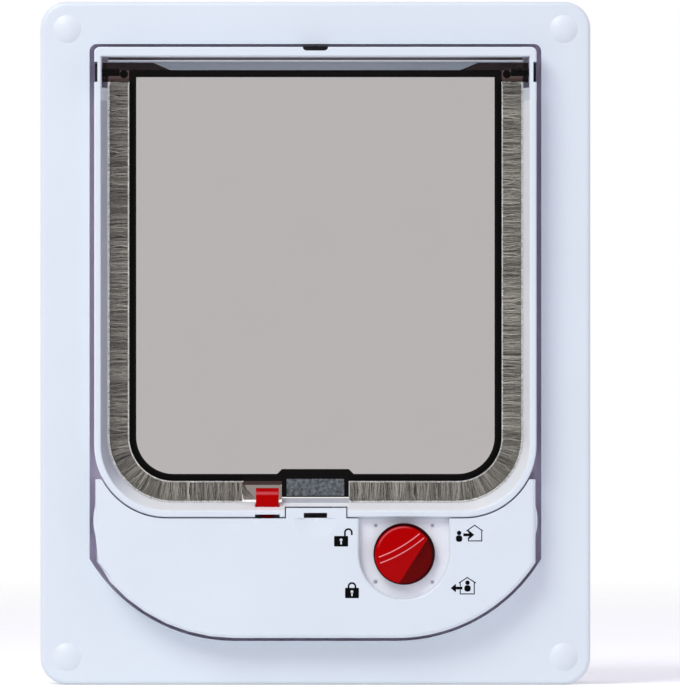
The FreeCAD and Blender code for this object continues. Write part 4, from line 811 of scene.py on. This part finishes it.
# %% Course of a strip
PILE_REACH = 8.5 * MM
PILE_CORNER = 19.0 * MM


def strip_course(node):
    """Read from the solid where the strip starts, turns and ends."""
    low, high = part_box(node)
    side = 1 if high.x > 0 else -1
    near, far = sorted((abs(low.x), abs(high.x)))
    course = {"side": side, "rim_x": far - PILE_REACH, "rim_z": low.z + PILE_REACH, "top": high.z, "end": near}
    course["mid_y"] = (low.y + high.y) / 2
    course["half_depth"] = (high.y - low.y) / 2
    course["down"] = course["top"] - course["rim_z"] - PILE_CORNER
    course["bend"] = math.pi / 2 * PILE_CORNER
    course["length"] = course["down"] + course["bend"] + course["rim_x"] - PILE_CORNER - near
    return course


def course_point(course, along):
    """Return the foot of a fibre at this length along the strip, and the way that it points."""
    turn_x = course["rim_x"] - PILE_CORNER
    turn_z = course["rim_z"] + PILE_CORNER
    if along < course["down"]:
        spot, out = (course["rim_x"], course["top"] - along), (1.0, 0.0)
    elif along < course["down"] + course["bend"]:
        angle = (along - course["down"]) / PILE_CORNER
        out = (math.cos(angle), -math.sin(angle))
        spot = (turn_x + PILE_CORNER * out[0], turn_z + PILE_CORNER * out[1])
    else:
        spot = (turn_x - (along - course["down"] - course["bend"]), course["rim_z"])
        out = (0.0, -1.0)
    side = course["side"]
    return Vector((side * spot[0], course["mid_y"], spot[1])), Vector((side * out[0], 0, out[1]))


left_course = strip_course("brush_strip_left")
right_course = strip_course("brush_strip_right")
print("strip lengths in mm:", round(left_course["length"] / MM), round(right_course["length"] / MM))

# %% [markdown]
# ## Fibres in tufts
# Fibres that all stood alike would look like a comb. Real ones are held in tufts: the fibres of a tuft lean and
# curl together and have nearly the same shade, and neighbouring tufts differ. All the chance in it comes from one
# seed a strip, so that every run gives the same brush. A few loose fibres splay out at the left strip's free end,
# over the gap beside the latch.

# %% Throw the fibres of a strip
TUFT_PITCH = 0.4 * MM
TUFT_ROWS = 4
FIBRES_PER_TUFT = 6
TUFT_FILL = 0.86
FOOT_GAP = 0.25 * MM
REACH_SHARES = (0.9, 1.09)
TOP_STRAY = 0.8 * MM
LOOSE_FIBRES = 150


def tuft_fibres(course, along, row, chance):
    """Return the three points and the shade of each fibre in one tuft."""
    lean = chance.gauss(0.0, 0.07)
    curl = chance.gauss(0.0, 0.3) * MM
    shade = chance.random()
    depth = (row + 0.5) / TUFT_ROWS * 2 - 1
    fibres = []
    for _ in range(FIBRES_PER_TUFT):
        spot_along = min(along + chance.uniform(-0.7, 0.7) * TUFT_PITCH, course["length"])
        foot, out = course_point(course, spot_along)
        run = Vector((out.z, 0, -out.x))
        foot.y += (depth + chance.uniform(-0.3, 0.3)) * course["half_depth"] * TUFT_FILL
        reach = PILE_REACH * chance.uniform(*REACH_SHARES)
        sway = run * (lean + chance.gauss(0.0, 0.06))
        spread = Vector((0, depth * 0.06 + chance.gauss(0.0, 0.03), 0))
        tip = foot + (out + spread + sway) * reach
        middle = foot + (out + spread * 0.4 + sway * 0.6) * reach * 0.55 + run * curl
        fibre_shade = min(max(shade + chance.gauss(0.0, 0.18), 0.0), 1.0)
        fibres.append(((foot + out * FOOT_GAP, middle, tip), fibre_shade))
    return fibres


def strip_fibres(course, seed):
    chance = random.Random(seed)
    fibres = []
    for step in range(int((course["length"] + TOP_STRAY) / TUFT_PITCH)):
        for row in range(TUFT_ROWS):
            along = (step + 0.5 + chance.uniform(-0.3, 0.3)) * TUFT_PITCH - TOP_STRAY
            fibres += tuft_fibres(course, along, row, chance)
    return fibres


def loose_fibres(course, count, seed):
    """Return stray fibres at the strip's free end."""
    chance = random.Random(seed)
    fibres = []
    for _ in range(count):
        foot, out = course_point(course, course["length"] - chance.uniform(0.0, 0.8) * MM)
        foot.y += chance.uniform(-0.8, 0.8) * course["half_depth"]
        splay = Vector((-course["side"] * chance.uniform(0.05, 0.75), chance.uniform(-0.05, 0.05), 0))
        reach = PILE_REACH * chance.uniform(0.6, 0.98)
        middle = foot + (out + splay * 0.7) * reach * 0.5
        fibres.append(((foot + out * FOOT_GAP, middle, foot + (out + splay) * reach), chance.uniform(0.0, 0.7)))
    return fibres


left_fibres = strip_fibres(left_course, 11) + loose_fibres(left_course, LOOSE_FIBRES, 5)
right_fibres = strip_fibres(right_course, 23)
print("fibres:", len(left_fibres), len(right_fibres))

# %% [markdown]
# ## From points to a mesh
# No modelling operator makes thousands of bent needles, so this is the one mesh that is written point by point. Each
# fibre is a three-sided needle with a ring at its foot, one at its bend and a narrow one at its tip: fourteen
# triangles are enough, since a fibre is hardly wider than a pixel. Its shade is stored with its points in an
# attribute, which the material reads.

# %% Build the needles
FIBRE_RADIUS = 0.062 * MM
RING_WIDTHS = (1.0, 0.9, 0.45)
SIDES = 3


def fibre_mesh(name, fibres):
    points, faces, shades = [], [], []
    for places, shade in fibres:
        first = len(points)
        way = (places[-1] - places[0]).normalized()
        across = way.cross(Vector((0, 1, 0))).normalized()
        up = across.cross(way)
        for place, width in zip(places, RING_WIDTHS):
            for corner in range(SIDES):
                angle = 2 * math.pi * corner / SIDES
                points.append(place + (across * math.cos(angle) + up * math.sin(angle)) * FIBRE_RADIUS * width)
                shades.append(shade)
        for ring in range(len(places) - 1):
            low = first + ring * SIDES
            for corner in range(SIDES):
                after = (corner + 1) % SIDES
                faces.append((low + corner, low + after, low + SIDES + after, low + SIDES + corner))
        faces.append([first + corner for corner in reversed(range(SIDES))])
        faces.append([len(points) - SIDES + corner for corner in range(SIDES)])
    mesh = bpy.data.meshes.new(name)
    mesh.from_pydata(points, [], faces)
    mesh.attributes.new("fibre_shade", "FLOAT", "POINT").data.foreach_set("value", shades)
    brush = bpy.data.objects.new(name, mesh)
    bpy.context.scene.collection.objects.link(brush)
    print(name, "points:", len(points), "faces:", len(faces))
    return brush


left_brush = fibre_mesh("brush_pile_left", left_fibres)
right_brush = fibre_mesh("brush_pile_right", right_fibres)

# %% [markdown]
# ## The colour of the fibres
# Seen closely the brush is a mix of dark, beige and pale fibres. The shade attribute goes through a colour ramp, and
# a little noise along each fibre breaks it up. Fibres are matt, with the soft sheen of cloth at their edges.
# Tape and core, which come next, are coarser cloth.

# %% Fibre, tape and core materials
def cloth(name, colour, roughness, shade, grain, bump, cloud, constants=()):
    material = plastic(name, colour, roughness, shade, grain, bump, constants)
    open_up(material)[1].inputs["Cloud Scale"].default_value = cloud
    return material


pile = cloth("brush_pile", seen(162, 158, 147), 0.75, 0.35, 900.0, (0.2, 0.00005), 500.0, {
    "Sheen Weight": 0.25, "Specular IOR Level": 0.25})
tree = pile.node_tree
fibre_shade = add_node(tree, "ShaderNodeAttribute", {"attribute_name": "fibre_shade"}).outputs["Fac"]
set_colour(pile, colour_ramp(
    tree, fibre_shade, (0.0, seen(112, 109, 101)), (0.5, seen(162, 158, 147)), (1.0, seen(222, 217, 204))))
tape_cloth = cloth("tape_cloth", seen(246, 244, 236), 0.8, 0.9, 1200.0, (0.5, 0.0001), 900.0)
core_felt = cloth("core_felt", seen(104, 101, 93), 0.85, 0.4, 1200.0, (0.5, 0.0001), 30.0)

# %% [markdown]
# ## Tape and core
# Between the rim and the fibres the photograph shows a thin pale line: the woven tape that holds the fibres. Inside
# the pile runs a dark core, the part where the fibres stand so close that no light comes through. Both follow the
# same course, so one helper makes them: a small flat rectangle is extruded down the side, spun a quarter turn round
# the corner and extruded along the foot. A curve could do it too, but its section would twist at the corner.

# %% Helpers for modelling
def select_only(item):
    bpy.ops.object.select_all(action="DESELECT")
    item.select_set(True)
    bpy.context.view_layer.objects.active = item


def apply_place():
    bpy.ops.object.transform_apply(location=True, rotation=True, scale=True)


def edit_all():
    bpy.ops.object.mode_set(mode="EDIT")
    bpy.ops.mesh.select_all(action="SELECT")


def leave_edit():
    bpy.ops.object.mode_set(mode="OBJECT")


def finish_piece(item, material, body):
    """Apply the place to the mesh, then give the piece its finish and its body."""
    select_only(item)
    apply_place()
    item.data.materials.clear()
    item.data.materials.append(material)
    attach(item, body)
    print("piece:", item.name, "faces:", len(item.data.polygons))
    return item


# %% Band along a strip
CORNER_STEPS = 16
TAPE_SPAN = (0.02 * MM, 0.6 * MM)
TAPE_FILL = 1.6
CORE_SPAN = (0.62 * MM, 8.45 * MM)
CORE_DEPTH = 0.5 * MM


def build_band(name, course, inner, outer, depth):
    """Sweep a rectangle that reaches from inner to outer, measured from the rim, along the course."""
    side = course["side"]
    middle = side * (course["rim_x"] + (inner + outer) / 2)
    bpy.ops.mesh.primitive_plane_add(size=1, location=(middle, course["mid_y"], course["top"]))
    item = bpy.context.object
    item.name = name
    item.scale = (outer - inner, depth, 1)
    apply_place()
    centre = (side * (course["rim_x"] - PILE_CORNER), course["mid_y"], course["rim_z"] + PILE_CORNER)
    inward = course["rim_x"] - PILE_CORNER - course["end"]
    edit_all()
    bpy.ops.mesh.extrude_region_move(TRANSFORM_OT_translate={"value": (0, 0, -course["down"])})
    bpy.ops.mesh.spin(steps=CORNER_STEPS, angle=-side * math.pi / 2, center=centre, axis=(0, 1, 0))
    bpy.ops.mesh.extrude_region_move(TRANSFORM_OT_translate={"value": (-side * inward, 0, 0)})
    bpy.ops.mesh.select_all(action="SELECT")
    bpy.ops.mesh.remove_doubles(threshold=0.01 * MM)
    bpy.ops.mesh.normals_make_consistent(inside=False)
    leave_edit()
    return item


for course, brush, node in ((left_course, left_brush, "brush_strip_left"),
                            (right_course, right_brush, "brush_strip_right")):
    finish_piece(brush, pile, "flap_body")
    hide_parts(node)
    tape = build_band(node.replace("strip", "tape"), course, *TAPE_SPAN, course["half_depth"] * TAPE_FILL)
    finish_piece(tape, tape_cloth, "flap_body")
    core = build_band(node.replace("strip", "core"), course, *CORE_SPAN, CORE_DEPTH)
    finish_piece(core, core_felt, "flap_body")

# %% [markdown]
# ## Soft edges on knob and latch
# A moulded edge is never sharp: a radius of a few tenths of a millimetre catches the lamp. The solid has sharp edges,
# and its mesh may not be changed, so a copy stands for it. The copy's loose triangles are merged and its flat faces
# made whole, then the sharp edges are found by their angle and bevelled. Weighted normals keep the large faces flat
# beside the small new ones.

# %% Bevelled copies of two solids
SHARP_EDGE = 9
SMOOTH_EDGE = 35


def merged_copy(node, name, gap):
    """Copy a solid's mesh into a piece of its own and merge its points, and stay in edit mode."""
    piece = bpy.data.objects.new(name, nodes[node].data.copy())
    bpy.context.scene.collection.objects.link(piece)
    select_only(piece)
    bpy.ops.mesh.customdata_custom_splitnormals_clear()
    edit_all()
    bpy.ops.mesh.remove_doubles(threshold=gap)
    return piece


def soften(node, name, width, material, body):
    piece = merged_copy(node, name, 0.002 * MM)
    bpy.ops.mesh.dissolve_limited(angle_limit=math.radians(2))
    bpy.ops.mesh.select_all(action="DESELECT")
    bpy.ops.mesh.select_mode(type="EDGE")
    bpy.ops.mesh.edges_select_sharp(sharpness=math.radians(SHARP_EDGE))
    bpy.ops.mesh.bevel(offset=width, segments=3, affect="EDGES", clamp_overlap=True)
    bpy.ops.mesh.select_mode(type="VERT")
    leave_edit()
    finish_piece(piece, material, body)
    bpy.ops.object.shade_smooth_by_angle(angle=math.radians(SMOOTH_EDGE))
    weighted = piece.modifiers.new("weighted", "WEIGHTED_NORMAL")
    weighted.keep_sharp = True
    weighted.weight = 100
    bpy.ops.object.modifier_apply(modifier=weighted.name)
    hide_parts(node)


soften("lock_knob", "soft_knob", 0.22 * MM, knob_red, "knob_body")
soften("entry_latch", "soft_latch", 0.2 * MM, latch_red, "latch_body")

# %% [markdown]
# ## A copy of the spring
# A spring pushes the latch down. When the latch lifts, its shoulder rises by the latch's travel and the spring has to
# grow shorter by as much, which a rigid solid can't do. So a merged copy of the spring, with a mesh of its own,
# stands for it.

# %% Spring
spring = merged_copy("latch_spring", "soft_spring", 0.001 * MM)
leave_edit()
finish_piece(spring, spring_steel, "frame")
bpy.ops.object.shade_smooth_by_angle(angle=math.radians(SMOOTH_EDGE))
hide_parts("latch_spring")
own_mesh(spring)

# %% [markdown]
# ## The web under the strike
# Below the strike the flap has a thin see-through web, which is why the place beside the latch looks grey and not
# white. It is a small plate: a plane at its place, its two lower corners bevelled, then extruded to its thickness.

# %% Web
WEB_SPAN = (-31.1 * MM, -14.3 * MM)
WEB_FOOT = -67.3 * MM
WEB_BACK = -6.3 * MM
WEB_THICKNESS = 0.9 * MM
WEB_CORNER = 0.8 * MM
ROUND_STEPS = 5

middle = (WEB_TOP + WEB_FOOT) / 2
bpy.ops.mesh.primitive_plane_add(size=1, location=((WEB_SPAN[0] + WEB_SPAN[1]) / 2, WEB_BACK, middle),
                                 rotation=(math.pi / 2, 0, 0))
web = bpy.context.object
web.name = "strike_web"
web.scale = (WEB_SPAN[1] - WEB_SPAN[0], WEB_TOP - WEB_FOOT, 1)
apply_place()
for vertex in web.data.vertices:
    vertex.select = vertex.co.z < middle
bpy.ops.object.mode_set(mode="EDIT")
bpy.ops.mesh.bevel(offset=WEB_CORNER, segments=ROUND_STEPS, affect="VERTICES")
bpy.ops.mesh.select_all(action="SELECT")
bpy.ops.mesh.extrude_region_move(TRANSFORM_OT_translate={"value": (0, -WEB_THICKNESS, 0)})
bpy.ops.mesh.select_all(action="SELECT")
bpy.ops.mesh.normals_make_consistent(inside=False)
leave_edit()
finish_piece(web, smoked_plastic, "flap_body")

# %% [markdown]
# ## The printed marks
# Four black marks on the cover show what the knob does: an open padlock, a closed one, a figure that goes in and a
# figure that goes out. They could be painted by a texture, but print that stands a few hundredths of a millimetre
# proud keeps its sharp edge from any distance. Each mark is put together from flat shapes and then thickened.
# Flat shapes lie in the plane of the cover, so every primitive is turned to face the room. From here on the marks'
# own places and sizes are in millimetres.

# %% Flat shapes for print
cover_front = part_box("battery_cover")[0].y
PRINT_SINK = 0.01 * MM
PRINT_PROUD = 0.04 * MM
FACING = math.pi / 2


def add_flat(kind, x, z, lift=0.0, turn=0.0, **options):
    """Add a primitive at x and z in millimetres on the front of the cover."""
    spot = (x * MM, cover_front + PRINT_SINK - lift, z * MM)
    kind(location=spot, rotation=(FACING, turn, 0), **options)
    return bpy.context.object


def add_box(x0, x1, z0, z1, corner=0.0, lift=0.0):
    """Add a flat rectangle between two corners, with its own corners rounded."""
    item = add_flat(bpy.ops.mesh.primitive_plane_add, (x0 + x1) / 2, (z0 + z1) / 2, lift, size=1)
    item.scale = ((x1 - x0) * MM, (z1 - z0) * MM, 1)
    apply_place()
    if corner:
        edit_all()
        bpy.ops.mesh.bevel(offset=corner * MM, segments=ROUND_STEPS, affect="VERTICES")
        leave_edit()
    return item


def add_disc(x, z, radius, lift=0.0, vertices=32, turn=0.0):
    return add_flat(bpy.ops.mesh.primitive_circle_add, x, z, lift, turn, vertices=vertices, radius=radius * MM,
                    fill_type="NGON")


def add_pointer(x, z, length, height, way):
    """Add the triangle of an arrow that points to the right, way 1, or to the left, way -1."""
    item = add_disc(x, z, 1.0, vertices=3, turn=way * math.pi / 2)
    item.scale = (height / math.sqrt(3), length / 1.5, 1)
    return item


def add_arch(x, z, radius, width):
    """Add the upper half of a ring, by an inset disc that is cut along its middle."""
    item = add_disc(x, z, radius)
    edit_all()
    bpy.ops.mesh.inset(thickness=width * MM, depth=0)
    bpy.ops.mesh.delete(type="FACE")
    bpy.ops.mesh.select_all(action="SELECT")
    bpy.ops.mesh.bisect(plane_co=(x * MM, 0, z * MM), plane_no=(0, 0, 1), clear_inner=True)
    leave_edit()
    return item


def add_bar(start, end, width):
    """Add a thin line between two points, each (x, z)."""
    dx, dz = end[0] - start[0], end[1] - start[1]
    item = add_flat(bpy.ops.mesh.primitive_plane_add, (start[0] + end[0]) / 2, (start[1] + end[1]) / 2,
                    turn=-math.atan2(dz, dx), size=1)
    item.scale = ((math.hypot(dx, dz) + width) * MM, width * MM, 1)
    return item


def join_print(name, shapes, material):
    """Join flat shapes, give them the thickness of print and set them on the cover."""
    for shape in shapes:
        select_only(shape)
        apply_place()
    for shape in shapes:
        shape.select_set(True)
    bpy.context.view_layer.objects.active = shapes[0]
    bpy.ops.object.join()
    mark = bpy.context.object
    mark.name = name
    solid = mark.modifiers.new("thickness", "SOLIDIFY")
    solid.thickness = PRINT_SINK + PRINT_PROUD
    solid.offset = 1
    bpy.ops.object.modifier_apply(modifier=solid.name)
    return finish_piece(mark, material, "cover_body")


# %% Print inks
black_ink = plastic("black_ink", seen(6, 6, 8), roughness=0.5, shade=0.2, constants={"Specular IOR Level": 0.05})
white_ink = plastic("white_ink", WHITE, roughness=0.45)

# %% [markdown]
# ## Two padlocks
# A padlock is a rounded block with an arch on it. The keyhole is a pale shape on top, a little prouder than the
# block. On the open padlock the arch stands over the right end of the block, with one leg in it.

# %% Padlocks
ARCH_RADIUS = 1.85
ARCH_WIDTH = 0.75
LEFT_LEG, RIGHT_LEG = -ARCH_RADIUS, ARCH_RADIUS - ARCH_WIDTH


def build_padlock(name, block, arch, leg_feet):
    """Build a padlock from its block (left, right, low, high), its arch (x, z) and the feet of its two legs."""
    left, right, low, high = block
    arch_x, arch_z = arch
    parts = [add_box(left, right, low, high, corner=0.35), add_arch(arch_x, arch_z, ARCH_RADIUS, ARCH_WIDTH)]
    for leg, foot_z in zip((LEFT_LEG, RIGHT_LEG), leg_feet):
        parts.append(add_box(arch_x + leg, arch_x + leg + ARCH_WIDTH, foot_z, arch_z))
    join_print(name, parts, black_ink)
    middle = (left + right) / 2
    level = (low + high) / 2
    hole = [add_disc(middle, level + 0.55, 0.62, lift=PRINT_PROUD, vertices=24)]
    hole.append(add_box(middle - 0.3, middle + 0.3, level - 1.35, level + 0.3, lift=PRINT_PROUD))
    join_print(name + "_keyhole", hole, white_ink)


build_padlock("open_padlock_mark", (8.0, 14.0, -87.1, -82.6), (14.1, -81.1), (-82.7, -82.2))
build_padlock("shut_padlock_mark", (12.7, 18.6, -109.2, -104.8), (15.65, -104.2), (-104.9, -104.9))

# %% [markdown]
# ## The figure and the house
# The other two marks show which way the flap opens. A small figure, head and rounded body, stands before or inside
# the outline of a house, and an arrow runs from the figure into the house or out of it. The outline is drawn with
# thin bars, and it has a gap where the arrow passes.

# %% Way marks
LINE_WIDTH = 0.42
HEAD_RADIUS = 0.95
BODY_HALF, BODY_CORNER = 1.35, 1.05
SHAFT_HALF = 0.6
POINTER_LENGTH, POINTER_HEIGHT = 2.25, 3.7


def add_figure(x, head_z, foot_z):
    body = add_box(x - BODY_HALF, x + BODY_HALF, foot_z, head_z - BODY_CORNER, corner=BODY_CORNER)
    return [add_disc(x, head_z, HEAD_RADIUS), body]


def add_outline(points):
    return [add_bar(start, end, LINE_WIDTH) for start, end in zip(points, points[1:])]


def add_arrow(tail, tip, z, way):
    low, high = sorted((tail, tip - way * 1.9))
    shaft = add_box(low, high, z - SHAFT_HALF, z + SHAFT_HALF)
    return [shaft, add_pointer(tip - way * 1.5, z, POINTER_LENGTH, POINTER_HEIGHT, way)]


in_house = [(65.5, -83.3), (65.5, -84.7), (71.2, -84.7), (71.2, -80.3), (71.4, -80.3), (68.2, -78.0),
            (64.9, -80.3), (65.5, -80.3), (65.5, -81.0)]
join_print("way_in_mark", add_figure(61.5, -81.3, -85.1) + add_arrow(63.3, 68.0, -82.1, 1)
           + add_outline(in_house), black_ink)
out_house = [(62.0, -105.8), (62.0, -107.4), (68.0, -107.4), (68.0, -102.6), (68.5, -102.6), (65.0, -100.4),
             (61.6, -102.6), (62.0, -102.6), (62.0, -104.0)]
join_print("way_out_mark", add_figure(65.1, -102.6, -106.4) + add_arrow(62.9, 57.9, -104.9, -1)
           + add_outline(out_house), black_ink)
